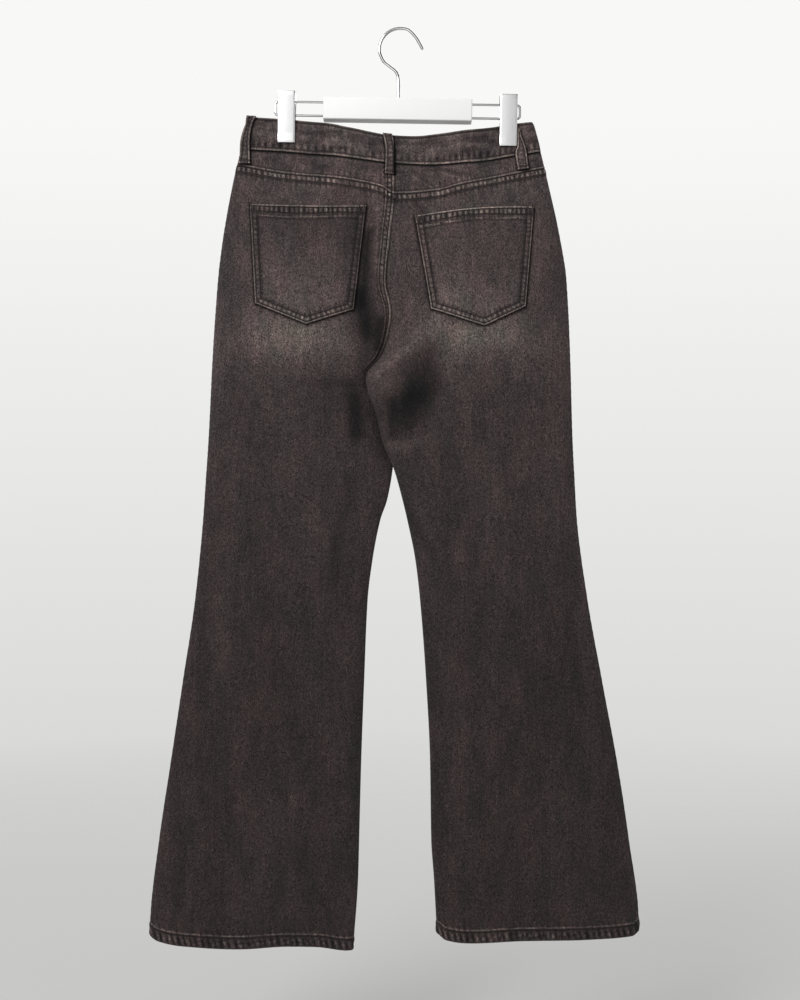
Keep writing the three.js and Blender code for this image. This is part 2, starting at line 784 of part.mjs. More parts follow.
// The hook: a straighter free end, a round curve, an S-bend and a straight shank
function hookGeometry() {
  const centre = hook.wire - hook.curve;
  const free = hook.free.map(([x, z]) => new THREE.Vector3(x, 0, z));
  const arc = evenly(11, hook.arcFrom, hook.arcTo).map((k) => new THREE.Vector3(
    hook.curve * Math.cos(Math.PI * k),
    0,
    centre + hook.curve * Math.sin(Math.PI * k),
  ));
  const shank = [...hook.shankDrops, block.top, block.top + hook.sunk];
  const points = [
    ...free,
    ...arc,
    ...hook.bend.map(([x, z]) => new THREE.Vector3(x, 0, z)),
    ...shank.map((drop) => new THREE.Vector3(hook.shankX, 0, -drop)),
  ];
  return wireGeometry(points, hook.wire, 48, 8);
}

function blockGeometry() {
  const half = block.tall / 2 - block.bevel;
  const across = block.wide / 2 - block.bevel;
  const outline = new THREE.Shape([
    new THREE.Vector2(-across, -half),
    new THREE.Vector2(across, -half),
    new THREE.Vector2(across, half),
    new THREE.Vector2(-across, half),
  ]);
  const body = new THREE.ExtrudeGeometry(outline, {
    depth: block.deep - 2 * block.bevel,
    bevelEnabled: true,
    bevelSize: block.bevel,
    bevelThickness: block.bevel,
    bevelSegments: 2,
    steps: 1,
  });
  body.translate(0, 0, block.bevel - block.deep / 2).rotateX(Math.PI / 2);
  body.translate(block.x, 0, -block.top - block.tall / 2);
  let solid = toSolid(body);
  const socket = new THREE.CylinderGeometry(hook.wire + fit, hook.wire + fit, 2 * hook.sunk, 20);
  socket.rotateX(Math.PI / 2).translate(hook.shankX, 0, -block.top - fit);
  solid = solid.subtract(toSolid(socket));
  for (const side of [-1, 1]) {
    const end = block.x + side * block.wide / 2;
    const ends = [end + side, end - side * (rail.sunk + fit)];
    for (const drop of [rail.upper, rail.lower]) {
      const hole = rodAlongX(rail.wire + fit, Math.min(...ends), Math.max(...ends), -drop);
      solid = solid.subtract(toSolid(hole));
    }
  }
  return fromSolid(solid);
}

// A U-shaped rail: two straight runs out of the block, joined by a rounded end
function railGeometry(side) {
  const end = block.x + side * block.wide / 2;
  const start = end - side * rail.sunk;
  const tip = end + side * rail.reach;
  const turnAt = tip - side * rail.bend;
  const run = evenly(5, start, turnAt).map((x) => [x, -rail.upper]);
  const corner = evenly(3, 0, Math.PI / 2).slice(1).map((turn) => [
    turnAt + side * rail.bend * Math.sin(turn),
    -rail.upper - rail.bend * (1 - Math.cos(turn)),
  ]);
  const upper = [...run, ...corner];
  const lower = upper.map(([x, z]) => [x, -rail.upper - rail.lower - z]).reverse();
  const points = [...upper, ...lower].map(([x, z]) => new THREE.Vector3(x, 0, z));
  return wireGeometry(points, rail.wire, 28, 8);
}

// One jaw: a leaning plate, a pad that presses the cloth, and two ears on the rails
function jawGeometry(x, face) {
  const sign = faceSign[face];
  const rise = face === "front" ? clip.frontRise : 0;
  const top = -clip.top + rise;
  const outline = new THREE.Shape([
    new THREE.Vector2(clip.topHalf, top),
    new THREE.Vector2(clip.topHalf + clip.plate, top),
    new THREE.Vector2(pad.half + pad.slope + clip.plate, -clip.bottom),
    new THREE.Vector2(pad.half, -clip.bottom),
    new THREE.Vector2(pad.half, -clip.bottom + pad.tall),
    new THREE.Vector2(pad.half + pad.slope, -clip.bottom + pad.tall + pad.chamfer),
  ]);
  const plate = new THREE.ExtrudeGeometry(outline, { depth: clip.wide, bevelEnabled: false });
  plate.translate(0, 0, -clip.wide / 2);
  const stand = new THREE.Matrix4().makeBasis(
    new THREE.Vector3(0, sign, 0),
    new THREE.Vector3(0, 0, 1),
    new THREE.Vector3(sign, 0, 0),
  );
  plate.applyMatrix4(stand);
  let solid = toSolid(plate);
  const inset = ear.inset + (face === "back" ? 0 : ear.thick + fit);
  for (const end of [-1, 1]) {
    const outer = clip.wide / 2 - inset;
    const earShape = new THREE.Shape([
      new THREE.Vector2(-ear.reach, -ear.bottom + ear.slant),
      new THREE.Vector2(-ear.reach, -ear.top - ear.slant),
      new THREE.Vector2(ear.topHalf, -ear.top),
      new THREE.Vector2(ear.bottomHalf, -ear.bottom),
    ]);
    const plateEar = new THREE.ExtrudeGeometry(earShape, { depth: ear.thick, bevelEnabled: false });
    plateEar.translate(0, 0, end > 0 ? outer - ear.thick : -outer).applyMatrix4(stand);
    solid = solid.add(toSolid(plateEar));
  }
  for (const drop of [rail.upper, rail.lower]) {
    solid = solid.subtract(toSolid(rodAlongX(ear.hole, -clip.wide, clip.wide, -drop)));
  }
  return fromSolid(solid).translate(x, 0, 0);
}

// The spring of a clip, wound round the upper rail
function springGeometry(x) {
  const pitch = spring.long / spring.turns;
  const wire = (spring.outer - spring.inner) / 2;
  const outer = [];
  for (let i = 0; i < spring.turns; i += 1) {
    outer.push(new THREE.Vector2(spring.outer - wire, i * pitch));
    outer.push(new THREE.Vector2(spring.outer, (i + 0.5) * pitch));
  }
  outer.push(new THREE.Vector2(spring.outer - wire, spring.long));
  const profile = [
    new THREE.Vector2(spring.inner, 0),
    ...outer,
    new THREE.Vector2(spring.inner, spring.long),
    new THREE.Vector2(spring.inner, 0),
  ];
  const coil = new THREE.LatheGeometry(profile, 12);
  return coil.rotateZ(-Math.PI / 2).translate(x - spring.long / 2, 0, -rail.upper);
}

function buttonGeometry() {
  return new THREE.LatheGeometry(buttonProfile.map(([r, h]) => new THREE.Vector2(r, h)), 24);
}

const jeans = new THREE.Group();
const hanger = new THREE.Group();
hanger.rotation.y = hangerTilt;

function add(group, name, geometry, material) {
  geometry.computeVertexNormals();
  const mesh = new THREE.Mesh(geometry, material);
  mesh.name = name;
  group.add(mesh);
  return mesh;
}

for (const half of ["left", "right"]) {
  const back = panelGeometry(half, "back", backRows(), backColumns(half));
  const yoke = panelGeometry(half, "back", yokeRows(), backColumns(half));
  const front = panelGeometry(half, "front", frontRows(), frontColumns(half));
  add(jeans, `back_${half}`, back, materials.denim);
  add(jeans, `yoke_${half}`, yoke, materials.denim);
  add(jeans, `front_${half}`, front, materials.denim);
  add(jeans, `pocket_facing_${half}`, facingGeometry(half), materials.denim);
  add(jeans, `back_pocket_${half}`, pocketGeometry(half), materials.denim);
}
add(jeans, "waistband", bandGeometry(), materials.denim);
for (const loop of loops) add(jeans, loop.name, loopGeometry(loop), materials.denim);

const buttonMesh = add(jeans, "waist_button", buttonGeometry(), materials.button);
const buttonX = inners[0].right + button.fromCentre;
const buttonDrop = read(bandTop, "x", "drop", buttonX) + frontDip + button.belowTop;
const buttonOut = bandWall + 2 * bandProud + 3 * seamGap;
buttonMesh.position.copy(clothAt("right", "front", buttonX, buttonDrop, buttonOut));

add(hanger, "hanger_block", blockGeometry(), materials.block);
add(hanger, "hook", hookGeometry(), materials.chrome);
for (const [i, side] of ["left", "right"].entries()) {
  add(hanger, `rail_${side}`, railGeometry(halfSign[side]), materials.chrome);
  add(hanger, `jaw_back_${side}`, jawGeometry(clip.x[i], "back"), materials.clip);
  add(hanger, `jaw_front_${side}`, jawGeometry(clip.x[i], "front"), materials.clip);
  add(hanger, `clip_spring_${side}`, springGeometry(clip.x[i]), materials.chrome);
}

const model = new THREE.Group();
model.add(jeans, hanger);
export default model;
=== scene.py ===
import math
import bpy
import numpy as np
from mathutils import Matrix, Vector


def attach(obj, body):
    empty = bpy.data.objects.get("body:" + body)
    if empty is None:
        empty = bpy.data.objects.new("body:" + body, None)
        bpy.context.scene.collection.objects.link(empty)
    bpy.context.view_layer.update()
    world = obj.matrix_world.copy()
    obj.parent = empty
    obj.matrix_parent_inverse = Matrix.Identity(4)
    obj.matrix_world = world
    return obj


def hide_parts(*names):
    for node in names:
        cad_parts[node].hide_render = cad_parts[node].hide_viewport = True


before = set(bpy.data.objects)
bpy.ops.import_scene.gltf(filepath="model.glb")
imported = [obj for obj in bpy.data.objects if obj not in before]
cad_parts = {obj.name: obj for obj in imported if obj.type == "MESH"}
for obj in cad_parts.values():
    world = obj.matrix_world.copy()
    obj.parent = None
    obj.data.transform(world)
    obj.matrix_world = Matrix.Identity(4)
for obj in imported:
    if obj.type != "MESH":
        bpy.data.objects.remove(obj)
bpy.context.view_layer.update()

mm = 0.001
print("stage: frame loaded")

# The garment's measures, in millimetres; drop is the distance below the hook's rest
cloth = {
    "wall": 1.4, "bandWall": 3.0, "bandProud": 0.6, "seamGap": 0.3, "roundness": 0.8,
    "leftOfHook": 3.25, "crotch": 433, "turnStarts": 250, "frontDip": 8, "waistMiddle": -10.5,
    "waistHalf": 187, "overFades": 110, "seamStrip": 9, "seamStripLow": 5.0,
}
sides = {
    "drop": [108, 122, 152, 190, 262, 312, 412, 512, 562, 612, 712, 812, 912, 1012, 1112, 1150],
    "left": [-186.5, -190.8, -197, -206, -219, -225, -232.1, -237.2, -240.6, -244, -254, -269, -284,
             -299, -310, -311],
    "right": [164.5, 170.5, 178.2, 187.2, 203, 210.6, 215.7, 218.6, 221.1, 224, 237.2, 255.2, 273.8, 289,
              301, 301],
}
inners = {
    "drop": [108, 206, 262, 318, 355, 378, 406, 433, 450, 480, 513, 532, 551, 587, 612, 662, 712, 812,
             912, 1012, 1062, 1150],
    "left": [-5.5, -5.5, -11, -15.5, -9.5, -12.5, -22, -41, -33, -20, -9, -5, -7, -13.5, -22, -31.8,
             -37.9, -42.2, -45.9, -48.5, -49.9, -56.3],
    "right": [-5.5, -5.5, -11, -15.5, -9.5, -12.5, -22, -41, -38, -27, -20, -12, -4.5, 5.5, 11.5,
              21.6, 27.5, 35, 40, 41.5, 45, 49.5],
}
depths = {
    "drop": [108, 152, 212, 262, 312, 362, 412, 433, 450, 480, 520, 560, 625, 762, 962, 1150],
    "half": [11, 13, 19, 23, 25, 25, 23, 22, 20, 18, 17, 16.5, 16, 15, 16, 18],
    "over": [0, 0, 0, 0, 0, 0, 0, 0, 10, 11, 11, 8, 0, 0, 0, 0],
}
edges = {
    "bandTop": {"x": [-190, -140, -92, -60, -5, 21, 50, 90, 128, 150, 169],
                "drop": [109.5, 112.5, 118, 124.5, 134.7, 135.7, 132.7, 126.5, 121, 117.5, 115.5]},
    "waistSeam": {"x": [-198, -150, -75, 0, 40, 90, 145, 179],
                  "drop": [150, 151.8, 159.8, 169.6, 171.3, 166.9, 157.6, 152.3]},
    "yokeSeam": {"x": [-202, -142, -104, -67, -39, -20, -6, 0, 49, 76, 116, 150, 186],
                 "drop": [169.5, 180, 184.4, 189.5, 194.5, 199.5, 208, 208, 204, 196.6, 187.2, 180,
                          172.6]},
    "hem": {"x": [-311, -299, -267, -195, -139, -102, -57, 48, 60, 82, 156, 247, 291, 301],
            "drop": [1129, 1136, 1141, 1143.5, 1140.5, 1141.7, 1148.6, 1128, 1135, 1137.5, 1133.5, 1132,
                     1130, 1124]},
}
clips = {"places": [-139, 139], "flat": 19, "reach": 63, "half": 3.2, "holds": 150, "fades": 234}
folds = {  # half and face: x, from, to, lean, wide, out
    ("left", "back"): [
        (-38, 225, 410, 0, 22, -4), (-62, 430, 560, -0.1, 24, -5), (-150, 560, 900, -0.08, 46, -3),
        (-120, 900, 1150, 0.05, 40, 4),
    ],
    ("right", "back"): [
        (20, 385, 520, 0.1, 34, -6), (70, 330, 420, -0.5, 30, 4), (120, 600, 960, 0.1, 46, -3),
        (215, 880, 1150, 0.05, 40, 4),
    ],
    ("left", "front"): [
        (-45, 330, 500, -0.3, 30, -6), (-150, 600, 960, -0.1, 46, -4), (-200, 900, 1150, -0.05, 44, 4),
    ],
    ("right", "front"): [
        (30, 330, 500, 0.3, 30, -6), (125, 600, 940, 0.1, 46, -4), (130, 920, 1150, 0.03, 44, 4),
    ],
}
sign = {"left": -1, "right": 1, "back": -1, "front": 1}

# Smaller creases, each along a line from (x, drop) to (x, drop)
creases = {  # half and face: from (x, drop), to (x, drop), wide, out
    ("left", "back"): [
        ((-30, 235), (-36, 345), 7, -2.2), ((-24, 350), (-50, 440), 8, -2),
        ((-14, 330), (-34, 412), 6, 1.4), ((-70, 395), (-46, 470), 12, 1.6),
        ((-196, 262), (-150, 240), 9, -1), ((-200, 320), (-182, 420), 10, 1.2),
        ((-190, 620), (-216, 800), 13, 1.3), ((-90, 640), (-106, 860), 14, 1.2),
        ((-250, 1084), (-130, 1108), 9, -1.4), ((-230, 1104), (-150, 1120), 6, 1),
    ],
    ("right", "back"): [
        ((60, 372), (-30, 428), 11, 3), ((62, 395), (8, 442), 12, -2.6), ((-14, 470), (4, 545), 10, 1.5),
        ((36, 440), (14, 500), 13, -2), ((188, 300), (172, 420), 12, 1.2),
        ((180, 232), (150, 205), 8, -0.9), ((7, 592), (38, 648), 8, -1.3), ((17, 585), (48, 640), 8, 0.9),
        ((60, 650), (96, 900), 14, 1.3), ((186, 640), (214, 830), 13, -1.1),
        ((90, 1100), (170, 1092), 9, -1.1), ((210, 1096), (270, 1104), 8, 0.9),
    ],
    ("left", "front"): [
        ((-30, 350), (-110, 400), 10, 2.2), ((-34, 380), (-120, 450), 10, -2),
        ((-60, 420), (-140, 500), 11, 1.4), ((-100, 640), (-190, 700), 14, 1.4),
        ((-90, 700), (-200, 740), 12, -1.1), ((-240, 1090), (-150, 1102), 8, -1.2),
    ],
    ("right", "front"): [
        ((16, 350), (96, 404), 10, 2.2), ((20, 382), (104, 452), 10, -2), ((44, 424), (124, 505), 11, 1.3),
        ((70, 660), (170, 700), 14, 1.5), ((90, 706), (190, 760), 12, -1.2),
        ((100, 1094), (200, 1100), 8, -1.1),
    ],
}


def readTable(table, wanted, at, across="drop"):
    # smooth reading without overshoot
    xs, ys = np.array(table[across], float), np.array(table[wanted], float)
    steps = np.diff(xs)
    rises = np.diff(ys) / steps
    slopes = np.zeros_like(ys)
    slopes[0], slopes[-1] = rises[0], rises[-1]
    squared = rises[:-1] * rises[1:]
    total = np.where(squared > 0, rises[:-1] + rises[1:], 1)
    slopes[1:-1] = np.where(squared > 0, 2 * squared / total, 0)
    at = np.clip(at, xs[0], xs[-1])
    i = np.clip(np.searchsorted(xs, at, side="right") - 1, 0, len(xs) - 2)
    k = (at - xs[i]) / steps[i]
    bend = steps[i] * (slopes[i] * k * (1 - k) ** 2 - slopes[i + 1] * k * k * (1 - k))
    return ys[i] + (ys[i + 1] - ys[i]) * k * k * (3 - 2 * k) + bend


def edgeDrop(name, x):
    return readTable(edges[name], "drop", x, "x")


def ease(k):
    k = np.clip(k, 0, 1)
    return k * k * (3 - 2 * k)


def mix(a, b, k):
    return a + (b - a) * k


def plus(values):
    return np.maximum(values, 0)


def hump(distance, middle, wide):
    return np.exp(-((distance - middle) / wide) ** 2)


def frontDip(x):
    away = (x - cloth["waistMiddle"]) / cloth["waistHalf"]
    return cloth["frontDip"] * np.maximum(0, 1 - away * away)


def sectionAt(half, drop):
    turned = ease((drop - cloth["turnStarts"]) / (cloth["crotch"] - cloth["turnStarts"]))
    return {
        "side": readTable(sides, half, drop), "inner": readTable(inners, half, drop),
        "depth": readTable(depths, "half", drop), "over": readTable(depths, "over", drop),
        "turn": math.pi * mix(0.5, 1, turned),
    }


def acrossAt(cut, s):
    share = (1 - np.cos(cut["turn"] * s)) / (1 - np.cos(cut["turn"]))
    return mix(cut["side"], cut["inner"], share)


def placeOf(cut, x):
    share = np.clip((x - cut["side"]) / (cut["inner"] - cut["side"]), 0, 1)
    return np.arccos(1 - share * (1 - np.cos(cut["turn"]))) / cut["turn"]


def pinchAt(x, drop):
    nearest = np.minimum(np.abs(x - clips["places"][0]), np.abs(x - clips["places"][1]))
    beside = 1 - ease((nearest - clips["flat"]) / (clips["reach"] - clips["flat"]))
    return beside * (1 - ease((drop - clips["holds"]) / (clips["fades"] - clips["holds"])))


def foldAt(half, face, x, drop):
    out = np.zeros_like(x)
    for middle, start, end, lean, wide, height in folds[half, face]:
        k = np.clip((drop - start) / (end - start), 0, 1)
        out += height * np.sin(math.pi * k) * hump(x, middle + lean * (drop - start), wide)
    return out


def fromLine(x, drop, start, end):
    # distance beside the line, distance along it, and its length
    length = math.hypot(end[0] - start[0], end[1] - start[1])
    ux, ud = (end[0] - start[0]) / length, (end[1] - start[1]) / length
    x, drop = x - start[0], drop - start[1]
    return x * ud - drop * ux, x * ux + drop * ud, length


def creaseAt(half, face, x, drop):
    out = np.zeros_like(x)
    for start, end, wide, height in creases[half, face]:
        beside, along, length = fromLine(x, drop, start, end)
        k = along / length
        beside = np.abs(beside + 0.35 * wide * np.sin(5 * k + start[0]))
        fade = np.sin(math.pi * np.clip(mix(0.1, 0.9, k), 0, 1)) ** 2
        out += height * hump(beside, 0, wide) * fade
    return out


def clothPoint(half, face, s, drop):
    cut = sectionAt(half, drop)
    x = acrossAt(cut, s)
    rounding = plus(np.sin(np.minimum(cut["turn"] * s, math.pi))) ** cloth["roundness"]
    rounded = cut["depth"] * rounding
    stands = mix(rounded, np.minimum(rounded, clips["half"]), pinchAt(x, drop))
    stands = stands + (foldAt(half, face, x, drop) + creaseAt(half, face, x, drop)) * rounding
    shift = -sign[half] * cut["over"] * (1 - ease(np.abs(x - cut["inner"]) / cloth["overFades"]))
    y = sign[face] * (stands + cloth["seamGap"] / 2) + shift
    return np.stack([x - cloth["leftOfHook"], y, -drop], axis=-1)


def unit(v):
    return v / np.maximum(np.linalg.norm(v, axis=-1, keepdims=True), 1e-9)


def clothNormal(half, face, s, drop):
    ds = 0.004
    inside = np.clip(s, ds, 1 - ds)
    across = clothPoint(half, face, inside + ds, drop) - clothPoint(half, face, inside - ds, drop)
    down = clothPoint(half, face, inside, drop + 1) - clothPoint(half, face, inside, drop - 1)
    normal = unit(np.cross(across, down))
    normal *= np.where(normal[..., 1:2] * sign[face] < 0, -1, 1)
    cut = sectionAt(half, drop)
    gape = cut["depth"] * plus(np.sin(np.minimum(cut["turn"], math.pi))) ** cloth["roundness"]
    sideways = 1 - np.clip(gape / 8, 0, 1)
    flat = np.zeros_like(sideways)
    endNormal = unit(np.stack([-sign[half] * sideways, sign[face] * (1 - sideways), flat], axis=-1))
    sideNormal = np.zeros_like(normal) + np.array([sign[half], 0.0, 0.0])
    normal = np.where((s < 0.001)[..., None], sideNormal, normal)
    return np.where((s > 0.999)[..., None], endNormal, normal)


def roping(along, pitch, seed):
    # uneven roping along a seam: heights from -1 to 1 at uneven steps
    rng = np.random.default_rng(seed)
    places = np.cumsum(rng.uniform(0.7, 1.35, 700) * pitch / 2) - 400
    heights = rng.uniform(0.35, 1, 700) * np.where(np.arange(700) % 2, 1, -1)
    i = np.clip(np.searchsorted(places, along) - 1, 0, 698)
    k = ease((along - places[i]) / (places[i + 1] - places[i]))
    return mix(heights[i], heights[i + 1], k)


def lumps(x, drop, size, seed):
    # smooth random heights on a lattice
    rng = np.random.default_rng(seed)
    lattice = rng.uniform(-1, 1, (64, 128))
    u, v = (x + 400) / size[0], drop / size[1]
    i, j = np.floor(u).astype(int), np.floor(v).astype(int)
    ku, kv = ease(u - i), ease(v - j)
    at = lambda a, b: lattice[a % 64, b % 128]
    return mix(mix(at(i, j), at(i + 1, j), ku), mix(at(i, j + 1), at(i + 1, j + 1), ku), kv)


# The relief of a folded, twice-stitched strip by distance from its edge: height, worn, dark; dark is painted
# shade in the stitch grooves, beside the strip and under a fold, and in the pucker valleys partly painted
# shade, partly unworn dye
strip = {"lift": 0.9, "groove": 0.6, "grooveWide": 0.75, "pucker": 0.6, "pitch": 6.0, "edge": 0.9}


def stripRelief(distance, along, wide, seed, lines, strength=1.0, edge=1.35):
    on = ease((distance + 0.2) / 0.7) * (1 - ease((distance - wide) / 1.2))
    ropes = roping(along, strip["pitch"], seed) * hump(distance, (lines[0] + lines[-1]) / 2, wide / 3.2)
    height = strip["lift"] * on + strip["pucker"] * strength * ropes
    # short puckers run on past the second line
    past = roping(along, strip["pitch"], seed) * hump(distance, wide + 2.5, 3.0) * (distance > wide)
    height = height + 0.2 * strength * past
    rim = edge * hump(distance, strip["edge"], 0.75)
    worn = plus(rim) + 1.6 * strength * plus(ropes + 0.4 * past) + 0.3 * strength * on
    # dark in the pucker valleys is partly painted shade, partly unworn dye; beside the strip and, with a
    # negative edge, along the fold it is painted shade
    dark = 1.35 * strength * plus(-ropes - 0.4 * past) + 0.35 * hump(distance, wide + 1.3, 1.2)
    dark = dark + plus(-rim)
    for line in lines:
        # painted shade in each stitch groove
        groove = hump(distance, line, strip["grooveWide"])
        height -= strip["groove"] * groove
        dark = dark + 1.45 * groove
    return height, worn * (distance > -0.5), dark * (distance > -0.5)


# Washed-out places and painted shade on the cloth: x, drop, radii and strength in stops; the dark spots are
# painted shade in hollows, valleys and towards the sides, partly darker dye
fadesAndShade = {
    "back": [
        (-122, 388, 66, 30, 0.8), (98, 384, 70, 26, 0.95), (-118, 372, 30, 18, 0.2),
        (-120, 300, 80, 60, 0.1), (60, 340, 60, 40, 0.1), (-35, 358, 13, 50, -0.8),
        (-36, 268, 7, 56, -0.35), (23, 458, 24, 36, -0.95), (-56, 486, 18, 50, -0.35),
        (-205, 290, 26, 120, -0.25), (200, 300, 26, 110, -0.2), (70, 430, 24, 40, 0.15),
        (-90, 440, 40, 40, -0.08), (60, 180, 70, 24, 0.06), (-24, 215, 10, 26, 0.15),
        (-110, 212, 80, 26, -0.2),
    ],
    "front": [
        (-120, 520, 62, 150, 0.75), (110, 520, 62, 150, 0.75), (-60, 380, 70, 30, 0.3),
        (50, 380, 70, 30, 0.3), (-10, 440, 40, 60, -0.6), (-130, 720, 60, 60, 0.3),
        (130, 720, 60, 60, 0.3),
    ],
}
# Painted highlights along raised creases and painted shade along sunken creases, folds and hollows, partly
# darker dye
strokes = {  # face: from (x, drop), to (x, drop), half width, stops
    "back": [
        ((2, 490), (30, 424), 13, -0.95), ((-7, 508), (-8, 466), 7, -0.9),
        ((-4, 474), (38, 452), 12, -0.55), ((14, 500), (30, 470), 10, -0.4),
        ((40, 400), (46, 440), 9, -0.6), ((-28, 430), (10, 402), 6.5, 0.6),
        ((-30, 452), (-26, 436), 9, 0.3), ((-14, 519), (8, 522), 5, 0.6), ((8, 518), (34, 516), 6, 0.2),
        ((-21, 364), (-25, 398), 6, -1.5), ((-49, 336), (-37, 378), 11, -1.5),
        ((-52, 372), (-38, 402), 12, -0.5), ((-37, 258), (-46, 345), 6.5, -1.55),
        ((-54, 460), (-52, 504), 9, -1.5), ((-33, 476), (-16, 530), 7, -0.5),
        ((62, 330), (20, 420), 14, 0.12), ((-60, 560), (-84, 700), 12, -0.25),
        ((52, 700), (80, 900), 13, 0.12), ((196, 640), (226, 840), 12, -0.2),
        ((-206, 620), (-232, 820), 12, 0.15), ((8, 592), (37, 647), 7, -0.4),
        ((17, 586), (47, 642), 6, 0.2), ((44, 174), (78, 184), 2.6, -0.8), ((14, 178), (40, 196), 3, -0.5),
        ((52, 182), (90, 190), 2.4, 0.4), ((20, 188), (44, 202), 2.4, 0.4), ((8, 176), (20, 186), 3, 0.35),
        ((-60, 176), (-30, 186), 3.5, 0.3), ((-120, 164), (-84, 176), 4, -0.35),
        ((-150, 160), (-120, 172), 4, 0.3), ((100, 172), (126, 166), 3, -0.4),
        ((22, 222), (36, 236), 3, -0.6), ((32, 220), (44, 232), 2.4, 0.45),
        ((-24, 226), (-28, 300), 3, 0.3), ((-150, 141), (-96, 143), 2.2, -0.45),
        ((-100, 130), (-60, 138), 2.4, -0.4), ((-56, 142), (-30, 146), 2, -0.5),
        ((-70, 147), (-40, 152), 2, 0.4), ((24, 146), (70, 142), 2.4, -0.4),
        ((40, 153), (100, 146), 2, 0.35), ((84, 138), (118, 133), 2.4, -0.4),
        ((-178, 124), (-150, 127), 2.4, -0.35),
    ],
    "front": [
        ((-30, 352), (-110, 402), 9, 0.35), ((16, 352), (96, 406), 9, 0.35),
        ((-34, 382), (-120, 452), 9, -0.4), ((20, 384), (104, 454), 9, -0.4),
        ((-60, 420), (-140, 500), 10, 0.25), ((44, 424), (124, 505), 10, 0.25),
    ],
}
# Cloth colours and painted shade: cool and shadow are the hues of painted shade in hollows and grooves, legs
# darkens the cloth lower down, partly dye and partly painted shade of light falling off downwards, and dark
# sets how deep the painted shade goes
dyeAndShade = {
    "brown": (0.0700, 0.0545, 0.0540), "tan": (0.0740, 0.0615, 0.0550),
    "cool": (0.0575, 0.0474, 0.0440), "shadow": (0.0520, 0.0485, 0.0540),
    "legs": -0.95, "worn": 1.1, "dark": 2.3, "inside": -0.2,  # in stops
}


def strokeAt(x, drop, start, end):
    # distance from a line with rounded ends
    beside, along, length = fromLine(x, drop, start, end)
    return np.hypot(beside, plus(np.maximum(-along, along - length)))


def spot(x, drop, middle, down, wide, tall, stops):
    return stops * np.exp(-((x - middle) / wide) ** 2 - ((drop - down) / tall) ** 2)


def toneAt(face, x, drop):
    # darker lower down the legs: partly the cloth's dye, partly painted shade of light falling off downwards
    tone = dyeAndShade["legs"] * (0.45 * ease((drop - 385) / 90) + 0.55 * ease((drop - 420) / 480))
    # painted highlights and painted shade along creases and in hollows, with the washed-out places
    for start, end, wide, stops in strokes[face]:
        tone = tone + stops * hump(strokeAt(x, drop, start, end), 0, wide)
    for toneSpot in fadesAndShade[face]:
        tone = tone + spot(x, drop, *toneSpot)
    tone = tone + 0.10 * lumps(x, drop, (14, 90), 5) + 0.08 * lumps(x, drop, (30, 160), 6)
    rubbed = mix(mix(0.26, 0.12, ease((drop - 200) / 60)), 0.06, ease((drop - 250) / 250))
    return tone + rubbed * (lumps(x, drop, (9, 16), 7) + lumps(x, drop, (5, 7), 8))


def dyeAndShadeOf(tone, worn, dark):
    bright = tone + dyeAndShade["worn"] * worn - dyeAndShade["dark"] * dark
    brown, tan, cool, shadow = (np.array(dyeAndShade[name]) for name in ("brown", "tan", "cool", "shadow"))
    toTan = np.clip(bright, 0, 1)[..., None]
    # darker tones, mostly painted shade, turn grey and then blue-black
    toCool = np.clip(-(tone + 0.9) / 0.8, 0, 1)[..., None]
    toBlue = np.clip(-(tone + 1.5) / 1.0, 0, 1)[..., None]
    hue = mix(mix(mix(brown, tan, toTan), cool, toCool), shadow, toBlue)
    return hue * (2.0 ** bright)[..., None]


sheets = {}  # each cloth piece and its bare surface
sharpAngle = 48  # edges turned more than this stay sharp


def makeShell(name, outer, inner, colours):
    # a closed shell from two grids of points in millimetres, with a colour on each point
    rows, columns = outer.shape[:2]
    count = rows * columns
    points = np.concatenate([outer.reshape(-1, 3), inner.reshape(-1, 3)]) * mm
    at = lambda layer, i, j: layer * count + i * columns + j
    i, j = (a.ravel() for a in np.meshgrid(np.arange(rows - 1), np.arange(columns - 1), indexing="ij"))
    quads = [
        np.stack([at(0, i, j), at(0, i + 1, j), at(0, i + 1, j + 1), at(0, i, j + 1)], axis=1),
        np.stack([at(1, i, j), at(1, i, j + 1), at(1, i + 1, j + 1), at(1, i + 1, j)], axis=1),
    ]
    r, c = np.arange(rows - 1), np.arange(columns - 1)
    rims = [(r, 0, r + 1, 0, 1), (r, columns - 1, r + 1, columns - 1, -1),
            (0, c, 0, c + 1, -1), (rows - 1, c, rows - 1, c + 1, 1)]
    for i0, j0, i1, j1, turn in rims:
        rim = np.stack([at(0, i0, j0), at(1, i0, j0), at(1, i1, j1), at(0, i1, j1)], axis=1)
        quads.append(rim[:, ::turn])
    quads = turnedOut(points, np.concatenate(quads))
    colours = colours.reshape(-1, 3)
    return meshPiece(name, points, quads, np.concatenate([colours, colours * 2.0 ** dyeAndShade["inside"]]))


def turnedOut(points, faces):
    a, b, c = points[faces[:, 0]], points[faces[:, 1]], points[faces[:, 2]]
    d = points[faces[:, -1]]
    volume = np.einsum("ij,ij->i", a, np.cross(b, c)).sum() + np.einsum("ij,ij->i", a, np.cross(c, d)).sum()
    return faces if volume > 0 else faces[:, ::-1]


